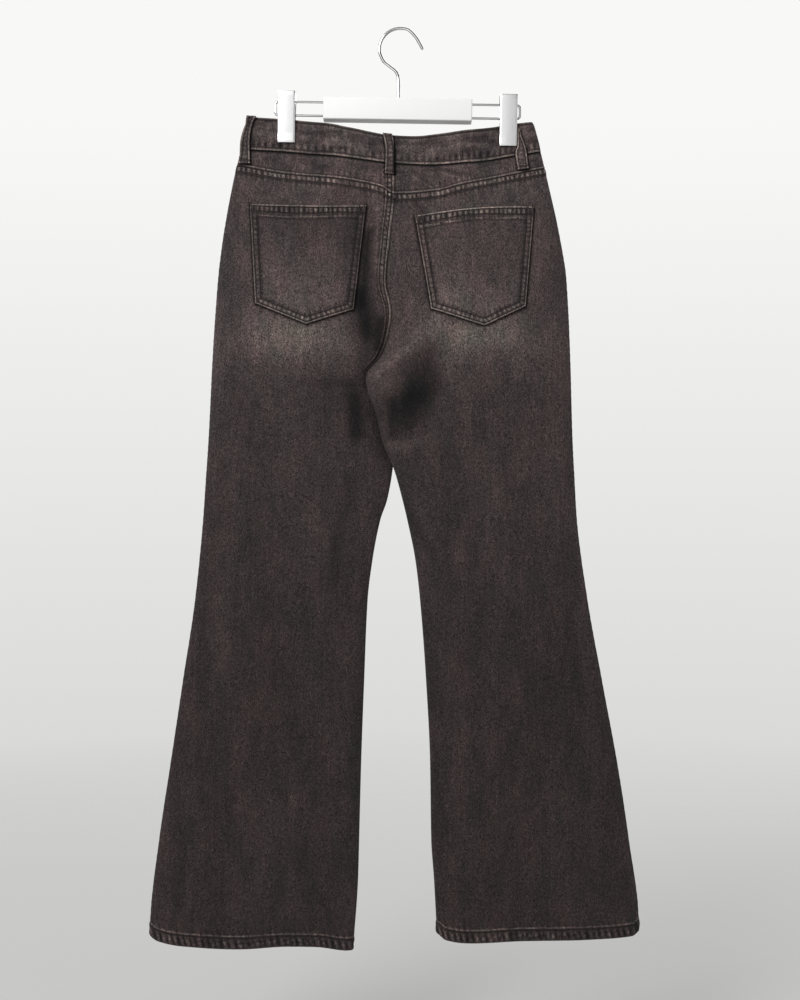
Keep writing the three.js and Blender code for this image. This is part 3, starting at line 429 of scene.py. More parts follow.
def meshPiece(name, points, faces, colours=None):
    mesh = bpy.data.meshes.new(name)
    size = faces.shape[1]
    mesh.vertices.add(len(points))
    mesh.vertices.foreach_set("co", np.ascontiguousarray(points, dtype=np.float32).ravel())
    mesh.loops.add(faces.size)
    mesh.loops.foreach_set("vertex_index", np.ascontiguousarray(faces, dtype=np.int32).ravel())
    mesh.polygons.add(len(faces))
    mesh.polygons.foreach_set("loop_start", np.arange(0, faces.size, size, dtype=np.int32))
    mesh.update(calc_edges=True)
    mesh.validate()
    mesh.shade_smooth()
    mesh.set_sharp_from_angle(angle=math.radians(sharpAngle))
    if colours is not None:
        layer = mesh.color_attributes.new("dyeAndShade", "FLOAT_COLOR", "POINT")
        rgba = np.concatenate([colours, np.ones((len(colours), 1))], axis=1)
        layer.data.foreach_set("color", rgba.astype(np.float32).ravel())
    return placeObject(name, mesh)


def placeObject(name, data):
    placed = bpy.data.objects.new(name, data)
    bpy.context.collection.objects.link(placed)
    return placed


def settle(piece, material, slotName, *nodes):
    piece.data.materials.append(material)
    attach(piece, "root")
    if nodes:
        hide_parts(*nodes)
    return piece


# Materials
def newMaterial(name):
    material = bpy.data.materials.new(name)
    material.use_nodes = True
    return material, material.node_tree, material.node_tree.nodes["Principled BSDF"]


def setSockets(tree, node, values):
    # a socket of another node is linked, a number is set
    for name, value in values.items():
        if isinstance(value, bpy.types.NodeSocket):
            tree.links.new(value, node.inputs[name])
        else:
            node.inputs[name].default_value = value


def addNode(tree, kind, output, values, **settings):
    node = tree.nodes.new("ShaderNode" + kind)
    for name, value in settings.items():
        setattr(node, name, value)
    setSockets(tree, node, values)
    return node.outputs[output]


def noiseNode(tree, vector, scale, detail=3.0, rough=0.6):
    return addNode(tree, "TexNoise", "Fac",
                   {"Vector": vector, "Scale": scale, "Detail": detail, "Roughness": rough})


def stretched(tree, vector, scale, turn=(0, 0, 0)):
    return addNode(tree, "Mapping", "Vector", {"Vector": vector, "Scale": scale, "Rotation": turn})


def mathNode(tree, kind, a, b):
    return addNode(tree, "Math", 0, {0: a, 1: b}, operation=kind)


def product(tree, first, *others):
    for other in others:
        first = mathNode(tree, "MULTIPLY", first, other)
    return first


def rangeNode(tree, value, low, high, toLow, toHigh):
    return addNode(tree, "MapRange", "Result", {
        "Value": value, "From Min": low, "From Max": high, "To Min": toLow, "To Max": toHigh})


def bumpNode(tree, height, strength, deep):
    return addNode(tree, "Bump", "Normal", {"Height": height, "Strength": strength, "Distance": deep * mm})


denimLook = {
    # stretch along the leg, scale, detail, roughness, strength
    "grain": (0.45, 1300, 2, 0.7, 0.95), "streak": (0.07, 300, 4, 0.65, 0.16),
    "mottle": (0.7, 420, 3, 0.7, 0.4), "patch": (0.4, 42, 4, 0.6, 0.13),
    "pale": (0.02, 0.08, 1.0, 1.15), "warm": 0.11, "least": 0.1, "brightness": 0.9,
    "twillTurn": 58, "twillSlant": 0.6, "twillPitch": 640, "twillUneven": 1.4, "bump": 0.45, "bumpDeep": 0.4,
    "shader": {"Roughness": 0.95, "Specular IOR Level": 0.12, "Sheen Weight": 0.07, "Sheen Roughness": 0.6},
}


def denimMaterial():
    material, tree, shader = newMaterial("washedDenim")
    look = denimLook
    place = tree.nodes.new("ShaderNodeTexCoord").outputs["Object"]
    noise, gains = {}, {}
    for name in ("grain", "streak", "mottle", "patch"):
        stretch, scale, detail, rough, strength = look[name]
        noise[name] = noiseNode(tree, stretched(tree, place, (1, 1, stretch)), scale, detail, rough)
        reach = (0.35, 0.65) if name == "patch" else (0.3, 0.7)
        gains[name] = rangeNode(tree, noise[name], *reach, 1 - strength, 1 + strength)
    gain = product(tree, gains["grain"], gains["streak"], gains["mottle"])
    # grain shows more where the cloth is worn pale
    # the cloth's colour with its painted shade, from the point colours
    dyedAndShaded = addNode(tree, "VertexColor", "Color", {}, layer_name="dyeAndShade")
    split = tree.nodes.new("ShaderNodeSeparateColor")
    setSockets(tree, split, {"Color": dyedAndShaded})
    paleness = rangeNode(tree, split.outputs["Green"], *look["pale"])
    gain = product(tree, mathNode(tree, "SUBTRACT", gain, 1.0), paleness)
    gain = mathNode(tree, "MAXIMUM", mathNode(tree, "ADD", gain, 1.0), look["least"])
    gain = product(tree, gain, look["brightness"], gains["patch"])
    # brown and green-grey patches shift red against green
    warm = rangeNode(tree, noise["patch"], 0.35, 0.65, 1 - look["warm"] / 2, 1 + look["warm"])
    channels = {name: split.outputs[name] for name in ("Red", "Green", "Blue")}
    channels["Red"] = product(tree, channels["Red"], warm)
    colour = addNode(tree, "CombineColor", "Color",
                     {name: product(tree, value, gain) for name, value in channels.items()})
    # right-hand twill ridges over the yarn grain
    diagonal = stretched(tree, place, (1, look["twillSlant"], 1), (0, math.radians(look["twillTurn"]), 0))
    ridge = addNode(tree, "TexWave", "Fac", {
        "Vector": diagonal, "Scale": look["twillPitch"] / (2 * math.pi) * 1.9,
        "Distortion": look["twillUneven"], "Detail": 1}, wave_type="BANDS")
    height = mathNode(tree, "ADD", product(tree, ridge, 0.5), noise["grain"])
    bump = bumpNode(tree, height, look["bump"], look["bumpDeep"])
    setSockets(tree, shader, {"Base Color": colour, "Normal": bump, **look["shader"]})
    return material


# Thread darkened past its own colour to carry the painted shade of the stitch grooves
threadLook = {
    "low": (0.018, 0.014, 0.013, 1), "high": (0.062, 0.050, 0.045, 1), "fibre": 2600,
    "shader": {"Roughness": 0.75, "Sheen Weight": 0.1},
}


def threadMaterial():
    material, tree, shader = newMaterial("threadWithGrooveShade")
    place = tree.nodes.new("ShaderNodeTexCoord").outputs["Object"]
    ramp = tree.nodes.new("ShaderNodeValToRGB")
    for end, name in enumerate(("low", "high")):
        ramp.color_ramp.elements[end].color = threadLook[name]
    setSockets(tree, ramp, {"Fac": noiseNode(tree, place, threadLook["fibre"], 2)})
    setSockets(tree, shader, {"Base Color": ramp.outputs["Color"], **threadLook["shader"]})
    return material


hardLooks = {  # colour, metallic, roughness, grain, its scale, its stretch
    "whitePaint": ((0.93, 0.93, 0.92), 0, 0.42, 0.05, 380, (1, 1, 1)),
    "hookChrome": ((0.83, 0.84, 0.85), 1, 0.12, 0.02, 700, (1, 1, 1)),
    "satinClip": ((0.86, 0.86, 0.87), 0.85, 0.34, 0.04, 500, (1, 1, 0.05)),
    "agedButton": ((0.26, 0.22, 0.19), 1, 0.42, 0.2, 900, (1, 1, 1)),
}


def hardMaterial(name):
    colour, metallic, roughness, grain, grainScale, stretch = hardLooks[name]
    material, tree, shader = newMaterial(name)
    place = tree.nodes.new("ShaderNodeTexCoord").outputs["Object"]
    mottle = noiseNode(tree, stretched(tree, place, stretch), grainScale, 4)
    setSockets(tree, shader, {
        "Base Color": (*colour, 1), "Metallic": metallic, "Coat Weight": 0,
        "Roughness": rangeNode(tree, mottle, 0.3, 0.7, roughness * 0.8, roughness * 1.25),
        "Normal": bumpNode(tree, mottle, grain, 0.1)})
    return material


denim = denimMaterial()
thread = threadMaterial()
whitePaint, chrome, clipMetal, agedMetal = (hardMaterial(name) for name in hardLooks)
print("stage: materials made")


def clothPiece(name, node, outer, inner, colours, bare):
    # a shell of cloth that stands for a node, kept with the bare surface that it was cut to
    piece = settle(makeShell(name, outer, inner, colours), denim, "denim", node)
    sheets[name] = (piece, bare)


# Rows of a panel: each row gives a drop at every x
def rowsBetween(upper, lower, count, last=False):
    shares = np.linspace(0, 1, count + 1)
    return [lambda x, k=k: mix(upper(x), lower(x), k) for k in (shares if last else shares[:-1])]


def level(drop):
    return lambda x: np.full_like(x, float(drop))


def below(name, distance, dips=False):
    return lambda x: edgeDrop(name, x) + distance + (frontDip(x) if dips else 0)


def gridOf(half, rows, placeColumns, passes=4):
    drops = np.stack([row(np.zeros(1)) for row in rows]).reshape(-1, 1)
    s = placeColumns(sectionAt(half, drops + np.zeros((1, 1))), drops)
    drop = drops + np.zeros_like(s)
    for _ in range(passes):
        cut = sectionAt(half, drop)
        s = placeColumns(cut, drop)
        x = acrossAt(cut, s)
        drop = np.stack([row(x[i]) for i, row in enumerate(rows)])
    cut = sectionAt(half, drop)
    s = placeColumns(cut, drop)
    return s, drop, acrossAt(cut, s)


# Columns spread out from the side fold, then close together over the seam strip
fineColumns = {"spread": 116, "strip": 13.0, "step": 0.8}
legLevels = {"hip": 300, "knee": 600, "ankle": 1085, "hemStarts": 19}
seamOverlap = {"reach": 1.1, "ends": 446, "closes": 0.4}


def panelColumns(half, start=None, spread=None):
    spread = spread or fineColumns["spread"]
    shares = np.linspace(0, 1, spread + 1)[:-1]
    near = np.arange(fineColumns["strip"], -0.01, -fineColumns["step"])
    near[-1] = 0

    def place(cut, drop):
        first = start(cut, drop) if start else np.zeros_like(cut["inner"])
        to = placeOf(cut, cut["inner"] + sign[half] * fineColumns["strip"])
        loose = mix(first[:, :1], to[:, :1], shares[None, :]) if to.shape[1] == 1 else mix(
            first[:, :spread], to[:, :spread], shares[None, :])
        base = {name: value[:, -1:] if value.shape[1] == 1 else value[:, spread:]
                for name, value in cut.items()}
        close = placeOf(base, base["inner"] + sign[half] * near[None, :])
        return np.concatenate([loose, close], axis=1)
    return place


hemRelief = {"stitch": 14.0, "lift": 1.0, "pucker": 0.85, "pitch": 7.4, "slant": 0.25}


def hemLayer(x, drop, seed):
    up = edgeDrop("hem", x) - drop
    on = 1 - ease((up - hemRelief["stitch"] - 0.6) / 1.2)
    ropes = roping(x + hemRelief["slant"] * up, hemRelief["pitch"], seed)
    band = hump(up, 6.5, 5.2)
    over = hump(up, hemRelief["stitch"] + 4, 4)
    groove = hump(up, hemRelief["stitch"], 0.8)
    rim = hump(up, 0, 1.2)
    height = hemRelief["lift"] * on + hemRelief["pucker"] * ropes * band + 0.25 * ropes * over
    height = height - 0.6 * groove - 0.5 * rim
    fine = roping(x + 0.4 * up, 3.1, seed + 40)
    light = hemRelief["stitch"] + 1.9
    worn = 1.75 * plus(ropes) * band + 0.9 * rim + (1.5 + 0.5 * fine) * hump(up, light, 1.0)
    # dark: painted shade in the stitch groove, and in the pucker valleys partly painted shade, partly unworn
    # dye
    dark = 1.3 * plus(-ropes) * band + 1.5 * groove + 0.35 * plus(-ropes) * over
    worn = worn + (0.25 + 0.3 * plus(fine)) * hump(up, 7, 6) + 0.4 * plus(ropes) * over
    dark = dark + 0.35 * plus(-fine) * hump(up, 7, 6)
    return height, worn, dark


def centreLines(drop):
    # the felled seam's two stitch lines, closer together towards the crotch
    wide = mix(cloth["seamStrip"], cloth["seamStripLow"], ease((drop - 300) / 90))
    return 2.1 + 0 * drop, wide - 1.3


def centreLayer(half, face, x, drop, cut):
    distance = np.abs(x - cut["inner"])
    fading = 1 - ease((drop - 405) / 30)
    if (half, face) in (("left", "back"), ("right", "front")):
        lines = centreLines(drop)
        wide = lines[1] + 1.3
        quiet = mix(1.0, 0.4, ease((drop - 250) / 80))
        height, worn, dark = stripRelief(distance, drop, wide, 11, lines, quiet)
        worn = worn + 1.1 * hump(distance, wide - 0.1, 0.65) * (face == "back")
        return height * fading, worn * fading, dark * fading
    # the other panel: a dip with painted shade in the seam's ditch
    ditch = hump(distance, 1.0, 1.3) * fading
    return -0.7 * ditch, 0 * ditch, 0.9 * ditch


def sideLayer(s, drop):
    # painted shade along the side fold, with light wear on its ropes
    near = hump(s, 0, 0.035)
    ropes = roping(drop, 9, 21)
    return -0.5 * near + 0.25 * ropes * hump(s, 0.05, 0.05), 0.12 * hump(s, 0.05, 0.05), 0.35 * near


def clothLumps(s, x, drop):
    # the cloth's own unevenness, dying out at the seams
    broad = 0.8 * lumps(x, drop, (60, 110), 31) + 0.35 * lumps(x, drop, (24, 50), 32)
    lump = broad + 0.1 * lumps(x, drop, (9, 14), 33)
    return lump * np.clip(np.sin(math.pi * np.clip(s, 0, 1) ** 0.8), 0, 1)


def addLayers(layers):
    return [sum(parts) for parts in zip(*layers)]


# Patch pockets: corners as distance from the middle line and drop
pockets = {
    "left": {"topLeft": (-183.4, 220.3), "topRight": (-39.5, 223.9), "bottomLeft": (-176, 344.7),
             "bottomRight": (-55.1, 352.1), "point": (-113.3, 370.5), "dip": 1.5},
    "right": {"topLeft": (21, 237), "topRight": (168.4, 224), "bottomLeft": (41.2, 352.1),
              "bottomRight": (157.3, 348.4), "point": (106.7, 372.5), "dip": -4},
}


def pocketCorners(half):
    return [pockets[half][name] for name in ("topLeft", "bottomLeft", "point", "bottomRight", "topRight")]


def pocketShade(half, x, drop):
    # painted shadow along each pocket's outline
    corners = pocketCorners(half)
    beside = [strokeAt(x, drop, start, end) for start, end in zip(corners, corners[1:])]
    return hump(np.minimum.reduce(beside), 0.2, 1.7)


def pocketTop(half, a):
    shape = pockets[half]
    return mix(shape["topLeft"][1], shape["topRight"][1], a) + shape["dip"] * np.sin(math.pi * a)


def pocketHemWave(half, x):
    return 0.7 * np.sin(x / 19 + (2 if half == "left" else 0))


yokeLines = (1.2, 8.2)


def backLayers(half, s, x, drop):
    cut = sectionAt(half, drop)
    down = drop - edgeDrop("yokeSeam", x)
    # a negative edge paints shade under the yoke's folded edge
    yoke = stripRelief(down, x, cloth["seamStrip"], 12, yokeLines, 1.0, -0.7)
    shade = pocketShade(half, x, drop)
    layers = [yoke, centreLayer(half, "back", x, drop, cut), hemLayer(x, drop, 13), sideLayer(s, drop)]
    # the pocket outline's painted shadow, slightly sunk
    layers.append((-0.2 * shade, 0 * shade, 1.5 * shade))
    return addLayers(layers)


def frontLayers(half, s, x, drop):
    cut = sectionAt(half, drop)
    layers = [centreLayer(half, "front", x, drop, cut), hemLayer(x, drop, 14), sideLayer(s, drop)]
    past = (x - mouthAt(half, cut, drop)) * -sign[half]
    onMouth = ease((frontScoopFoot(x) - drop) / 4)
    height, worn, dark = stripRelief(past, drop, 8, 15, scoop["lines"], 0.5)
    layers.append((height * onMouth, worn * onMouth, dark * onMouth))
    if half == "left":
        # the fly's flap, with painted shade along its edge
        flap = flyShape["wide"] - np.abs(x - cut["inner"])
        on = ease(flap / 1.5) * (1 - ease((drop - flyShape["ends"]) / 2))
        layers.append((1.0 * on, 0 * on, 0.2 * hump(flap, 0, 1.5) * (drop < flyShape["ends"])))
    return addLayers(layers)


# Belt loops: two edges from the folded top (0) to the sewn foot (1)
loops = {
    "belt_loop_back": ("back", None, 15.4, [(0, -18.8, -7.2), (0.4, -15.2, -3.2), (1, -16, -3.6)]),
    "belt_loop_back_left": ("back", None, 18.4, [
        (0, -186.2, -176.5), (0.12, -187.8, -180.5), (0.3, -191, -183.2), (0.6, -194.4, -184.6),
        (1, -197.2, -184.2)]),
    "belt_loop_back_right": ("back", 125, 19.6, [
        (0, 149, 151.4), (0.2, 148.9, 154.2), (0.42, 148.8, 158), (0.56, 146.4, 159.8),
        (1, 149.4, 162.6)]),
    "belt_loop_front_left": ("front", None, 14, [(0, -92, -80), (1, -93, -81)]),
    "belt_loop_front_right": ("front", None, 14, [(0, 69, 81), (1, 70, 82)]),
}


def loopEdges(rows, at, along=np.interp):
    # where the loop's left and right edges run
    return [along(at, [row[0] for row in rows], [row[i] for row in rows]) for i in (1, 2)]


def loopShade(face, x, drop):
    # the painted shadow line beside and below each loop
    shade = np.zeros_like(x)
    for loopFace, topDrop, foot, rows in loops.values():
        if loopFace != face:
            continue
        middle = np.array([(rows[0][1] + rows[0][2]) / 2])
        top = topDrop or edgeDrop("bandTop", middle)[0]
        tall = edgeDrop("waistSeam", middle)[0] + foot - top
        at = (drop - top) / tall
        left, right = loopEdges(rows, at)
        beside = plus(np.maximum(left - x, x - right))
        under = plus((at - 1) * tall)
        shade = np.maximum(shade, hump(np.hypot(beside, under), 0.2, 1.5) * (at > 0))
    return shade


def yokeLayers(half, s, x, drop):
    cut = sectionAt(half, drop)
    toSeam = edgeDrop("yokeSeam", x) - drop
    toBand = drop - edgeDrop("waistSeam", x)
    # painted shade in the yoke seam's ditch, and a painted shadow under the waistband's seam
    ditch = hump(toSeam, 0, 1.3)
    under = hump(toBand, 0.6, 1.7)
    ropes = roping(x, 7, 16) * hump(toBand, 3, 3)
    fray = roping(x, 3.4, 17)
    fuzz = plus(fray) * hump(toSeam, 6, 4)
    # dark: painted shade beside the yoke seam, in its ditch, under the band and beside the loops; the fray's
    # dark is uneven dye
    layers = [
        centreLayer(half, "back", x, drop, cut), sideLayer(s, drop),
        (0.7 * hump(toSeam, 0.9, 1.1) - 0.3 * ditch, 1.4 * hump(toSeam, 1.0, 0.85) + 0.6 * fuzz,
         0.45 * hump(toSeam, 3.0, 1.0) + 0.1 * ditch + 0.5 * plus(-fray) * hump(toSeam, 7, 5)),
        (-0.5 * under + 0.25 * ropes, 0.45 * plus(ropes), 2.4 * under),
        (0 * x, 0 * x, 1.1 * loopShade("back", x, drop)),
    ]
    return addLayers(layers)


scoop = {"wide": 88, "tall": 78, "under": 14, "curve": 0.8, "lines": (1.6, 7.4)}
flyShape = {"wide": 38, "starts": 181, "ends": 300, "bend": 34, "lines": ((34, 298), (28, 291))}


def scoopReach(half, cut, drop):
    down = (drop - below("waistSeam", 0, True)(cut["side"] - sign[half] * scoop["wide"])) / scoop["tall"]
    return scoop["wide"] * (1 - np.clip(down, 0, 1) ** 2) ** scoop["curve"]


def mouthAt(half, cut, drop):
    return cut["side"] - sign[half] * scoopReach(half, cut, drop)


def frontScoopFoot(x):
    return below("waistSeam", scoop["tall"], True)(x)


faceOf = {"back": "back", "yoke": "back", "front": "front"}
layersOf = {"back": backLayers, "yoke": yokeLayers, "front": frontLayers}


def surfaceAt(kind, half, s, x, drop):
    height, worn, dark = layersOf[kind](half, s, x, drop)
    lump = clothLumps(s, x, drop)
    point = clothPoint(half, faceOf[kind], s, drop)
    normal = clothNormal(half, faceOf[kind], s, drop)
    raised = point + normal * (height + lump)[..., None]
    return raised, point + normal * lump[..., None], normal, worn, dark


def makePanel(name, kind, half, rows, columns):
    s, drop, x = gridOf(half, rows, columns)
    face = faceOf[kind]
    outer, base, normal, worn, dark = surfaceAt(kind, half, s, x, drop)
    # the left panel's felled edge lies over the right panel's
    lies = (s > 0.999) & (drop < seamOverlap["ends"]) & (half == "left")
    # and the back panel's edges close the side and inner leg seams
    closes = ((s < 0.001) | ((s > 0.999) & (drop > seamOverlap["ends"]))) & (face == "back")
    for points in (outer, base):
        points[..., 0] += seamOverlap["reach"] * lies
        points[..., 1] += seamOverlap["closes"] * closes
    colours = dyeAndShadeOf(toneAt(face, x, drop), worn, dark)
    clothPiece(name, f"{kind}_{half}", outer, base - normal * cloth["wall"], colours, base)


def legRows():
    hip, knee, ankle = (level(legLevels[name]) for name in ("hip", "knee", "ankle"))
    hemTop = below("hem", -legLevels["hemStarts"])
    return (rowsBetween(hip, knee, 84) + rowsBetween(knee, ankle, 92)
            + rowsBetween(ankle, hemTop, 10) + rowsBetween(hemTop, below("hem", 0), 23, True))


def makePanels():
    seam, strip = cloth["seamGap"] / 2, fineColumns["strip"]
    hip = level(legLevels["hip"])
    for half in ("left", "right"):
        rows = rowsBetween(below("yokeSeam", seam), below("yokeSeam", strip), 16)
        rows += rowsBetween(below("yokeSeam", strip), hip, 30) + legRows()
        makePanel(f"backLeg_{half}", "back", half, rows, panelColumns(half))
        rows = rowsBetween(below("waistSeam", seam), below("yokeSeam", -seam), 34, True)
        makePanel(f"backYoke_{half}", "yoke", half, rows, panelColumns(half))
        shares = np.sin(np.linspace(0, math.pi / 2, 46))
        top, foot = below("waistSeam", seam, True), frontScoopFoot
        rows = [lambda x, k=k: mix(top(x), foot(x), k) for k in shares]
        rows += rowsBetween(foot, hip, 14)[1:] + legRows()

        def mouth(cut, drop, half=half):
            return placeOf(cut, mouthAt(half, cut, drop))
        makePanel(f"frontLeg_{half}", "front", half, rows, panelColumns(half, mouth, 96))


makePanels()
print("stage: leg panels and yokes made")

pocketLook = {
    "wall": 1.6, "gap": 0.5, "hem": 11.5, "stripWide": 8.4, "lines": (2.2, 7.8), "lower": 0.3,
    "sideRopes": 0.38, "pointRopes": 0.65,
    "hemLine": 2.4, "step": 1.45, "fine": 0.8, "fineReach": 10.5,
}
pocketWashes = {
    "left": [(-120, 345, 70, 40, 0.25), (-60, 290, 14, 60, -0.35), (-100, 250, 56, 40, -0.28)],
    "right": [(95, 352, 60, 36, 0.42), (36, 300, 12, 60, 0.12), (70, 250, 60, 34, 0.25),
              (140, 330, 30, 40, -0.1)],
}


def fineSteps(length):
    fine = np.arange(0, pocketLook["fineReach"], pocketLook["fine"])
    count = max(2, int((length - 2 * pocketLook["fineReach"]) / pocketLook["step"]))
    middle = np.linspace(pocketLook["fineReach"], length - pocketLook["fineReach"], count)
    return np.concatenate([fine, middle, length - fine[::-1]]) / length


def pocketPlace(half, a, k):
    shape = pockets[half]
    left = mix(shape["topLeft"][0], shape["bottomLeft"][0], k)
    right = mix(shape["topRight"][0], shape["bottomRight"][0], k)
    wide = shape["bottomRight"][0] - shape["bottomLeft"][0]
    pointAt = (shape["point"][0] - shape["bottomLeft"][0]) / wide
    corner = np.where(a < pointAt, shape["bottomLeft"][1], shape["bottomRight"][1])
    toPoint = np.where(a < pointAt, a / pointAt, (1 - a) / (1 - pointAt))
    return mix(left, right, a), mix(pocketTop(half, a), mix(corner, shape["point"][1], toPoint), k)


def pocketLayers(half, a, x, drop):
    look, corners = pocketLook, pocketCorners(half)
    near = [fromLine(x, drop, start, end) for start, end in zip(corners, corners[1:])]
    distances = np.abs(np.stack([beside for beside, _, _ in near]))
    alongs = np.stack([along + 150 * i for i, (_, along, _) in enumerate(near)])
    which = distances.argmin(axis=0)[None]
    distance, along = (np.take_along_axis(table, which, 0)[0] for table in (distances, alongs))
    seed = 41 if half == "left" else 42
    low = np.where((which[0] == 1) | (which[0] == 2), look["pointRopes"], look["sideRopes"])
    sewn = stripRelief(distance, along, look["stripWide"], seed, look["lines"], low)
    down = drop - pocketTop(half, a)
    wave = pocketHemWave(half, x)
    hem = stripRelief(down, x, look["hem"] + wave, seed + 5, (look["hemLine"], look["hem"] - 2 + wave), 1.0)
    under = hump(down, look["hem"] + 2.2 + wave, 1.1) * (distance > 3)
    height = np.maximum(sewn[0], hem[0]) + 0.3 * under
    # bar tacks at the top corners
    tack = np.exp(-(((distance - 4) / 3) ** 2) - ((down - 3) / 2.2) ** 2) * (which[0] % 3 == 0)
    topEdge = hump(down, 1.0, 1.0) * (distance > 2)
    worn = np.maximum(sewn[1], hem[1]) + 1.0 * under + 0.3 * tack + 0.7 * topEdge
    # dark: painted shade in the stitch grooves and, partly unworn dye, in the pucker valleys, and a painted
    # shade line below the hem's lower ridge
    dark = np.maximum(sewn[2], hem[2] * (down < look["hem"] + 2))
    dark = dark + 0.5 * hump(down, look["hem"] + 4.6 + wave, 1.2) * (distance > 9)
    return height + 0.4 * tack, worn, dark


def pocketPoint(half, a, k):
    x, drop = pocketPlace(half, a, k)
    s = placeOf(sectionAt(half, drop), x)
    height, worn, dark = pocketLayers(half, a, x, drop)
    normal = clothNormal(half, "back", s, drop)
    lift = clothLumps(s, x, drop) + pocketLook["gap"]
    seat = clothPoint(half, "back", s, drop) + normal * lift[..., None]
    outer = seat + normal * (pocketLook["wall"] + height)[..., None]
    return outer, seat, normal, x, drop, worn, dark


def makePockets():
    for half in ("left", "right"):
        shape = pockets[half]
        a, k = np.meshgrid(fineSteps(shape["topRight"][0] - shape["topLeft"][0]),
                           fineSteps(shape["bottomLeft"][1] - shape["topLeft"][1]))
        outer, seat, normal, x, drop, worn, dark = pocketPoint(half, a, k)
        tone = toneAt("back", x, np.minimum(drop, 330)) - 0.22
        tone = tone + pocketLook["lower"] * ease((drop - 230) / 120)
        for toneSpot in pocketWashes[half]:
            tone = tone + spot(x, drop, *toneSpot)
        clothPiece(f"patchPocket_{half}", f"back_pocket_{half}", outer, seat, dyeAndShadeOf(tone, worn, dark), seat)


makePockets()
print("stage: pockets made")

# The waistband, once round, lapped at the centre front
bandShape = {
    "lap": 25, "ramp": 22, "puckerAt": 7, "puckerWide": 4, "puckerPitch": 8.5, "sideSteps": 116,
    "topStitch": 2.8, "footStitch": 3.2, "topDrop": 130.0, "middleDrop": 140.0, "footDrop": 150.0,
}


def bandLayers(x, drop, topDistance, footDistance, face):
    shape = bandShape
    ropes = roping(x, shape["puckerPitch"], 51) * hump(footDistance, shape["puckerAt"], shape["puckerWide"])
    topLine = hump(topDistance, shape["topStitch"], 0.9)
    footLine = hump(footDistance, shape["footStitch"], 0.8)
    edge = hump(topDistance, 0.3, 1.0)
    lowEdge = hump(topDistance, 4.6, 1.0)
    ridge = hump(footDistance, 0.8, 1.1)
    height = 0.4 * ropes - 0.35 * topLine - 0.5 * footLine - 0.45 * edge + 0.35 * ridge
    slack = 0.7 * lumps(x, drop, (46, 15), 52) + 0.35 * lumps(x, drop, (17, 9), 53)
    streaks = 0.22 * lumps(x, drop, (22, 5), 54) + 0.12 * lumps(x, drop, (8, 5), 55)
    worn = 0.9 * plus(ropes) + 1.3 * ridge + 0.3 * edge + 1.3 * plus(streaks)
    # dark: painted shade in both stitch grooves and beside the loops, partly painted shade and partly unworn
    # dye in the pucker valleys; the streaks are uneven dye
    dark = 1.1 * plus(-ropes) + 0.6 * footLine + 1.5 * topLine + plus(-streaks) * 1.6
    worn = worn + 0.5 * lowEdge + 0.5 * hump(topDistance, 1.0, 0.8)
    dark = dark + 1.1 * loopShade(face, x, drop)
    return height + slack * hump(footDistance, 20, 16), worn, dark


def bandPlace(half, face, s, at, lift=0.0):
    # at runs from the top edge (0) to the seam (1)
    drop = np.full(np.broadcast(s, at).shape, bandShape["topDrop"])
    s = s + np.zeros_like(drop)
    dips = 1 if face == "front" else 0
    for _ in range(4):
        x = acrossAt(sectionAt(half, drop), s)
        top = edgeDrop("bandTop", x) + dips * frontDip(x)
        foot = edgeDrop("waistSeam", x) + dips * frontDip(x) - cloth["seamGap"] / 2
        drop = mix(top, foot, at)
    height, worn, dark = bandLayers(x, drop, drop - top, foot - drop, face)
    height = height * np.sin(math.pi * np.clip(at, 0, 1)) ** 0.3
    normal = clothNormal(half, face, s, drop)
    normal[..., 2] = 0
    normal = unit(normal)
    point = clothPoint(half, face, s, drop)
    point[..., 1] = np.where(s < 0.001, 0, point[..., 1])
    proud = cloth["bandProud"] * np.minimum(1, 12 * np.minimum(at, 1 - at))
    base = lift * (cloth["bandWall"] + cloth["bandProud"] + cloth["seamGap"])
    outer = point + normal * (base + proud + height)[..., None]
    inner = point + normal * (base + cloth["bandProud"] - cloth["bandWall"])[..., None]
    return outer, inner, normal, x, drop, worn, dark


def lapPlace(past=0.0):
    cut = sectionAt("right", np.array([bandShape["footDrop"]]))
    return placeOf(cut, cut["inner"] + bandShape["lap"] + past)[0]


def bandLift(half, s):
    # the band's upper end climbs over the under lap
    cut = sectionAt(half, np.full_like(s, bandShape["middleDrop"]))
    return 1 - ease(np.abs(acrossAt(cut, s) - cut["inner"]) / bandShape["ramp"])


def makeBand():
    around = np.linspace(0, 1, bandShape["sideSteps"])
    at = np.concatenate([[0, 0.012, 0.03], np.linspace(0.055, 0.66, 22), np.linspace(0.68, 0.97, 16),
                         [0.985, 1]])
    runs = [("right", "front", around[::-1], "under"), ("right", "back", around[1:], "flat"),
            ("left", "back", around[::-1][1:], "flat"), ("left", "front", around[1:], "over"),
            ("right", "front", np.linspace(1, lapPlace(), 18)[1:], "top")]
    parts = []
    for half, face, s, kind in runs:
        places, downs = np.meshgrid(s, at)
        lift = bandLift(half, places) if kind == "over" else np.full_like(places, float(kind == "top"))
        outer, inner, _, x, drop, worn, dark = bandPlace(half, face, places, downs, lift)
        parts.append((outer, inner, dyeAndShadeOf(toneAt(face, x, drop) + 0.1, worn, dark)))
    outer, inner, colours = (np.concatenate(tables, axis=1) for tables in zip(*parts))
    clothPiece("waistBand", "waistband", outer, inner, colours, inner)


makeBand()
print("stage: waistband made")

# Belt loops
loopShape = {
    "wall": 1.8, "fold": 1.6, "slack": 2, "rise": 0.6, "bulk": 0.7, "clear": 0.95, "line": 1.7, "stitch": 2.6,
    "tall": 56, "across": 25, "down": 84,
}


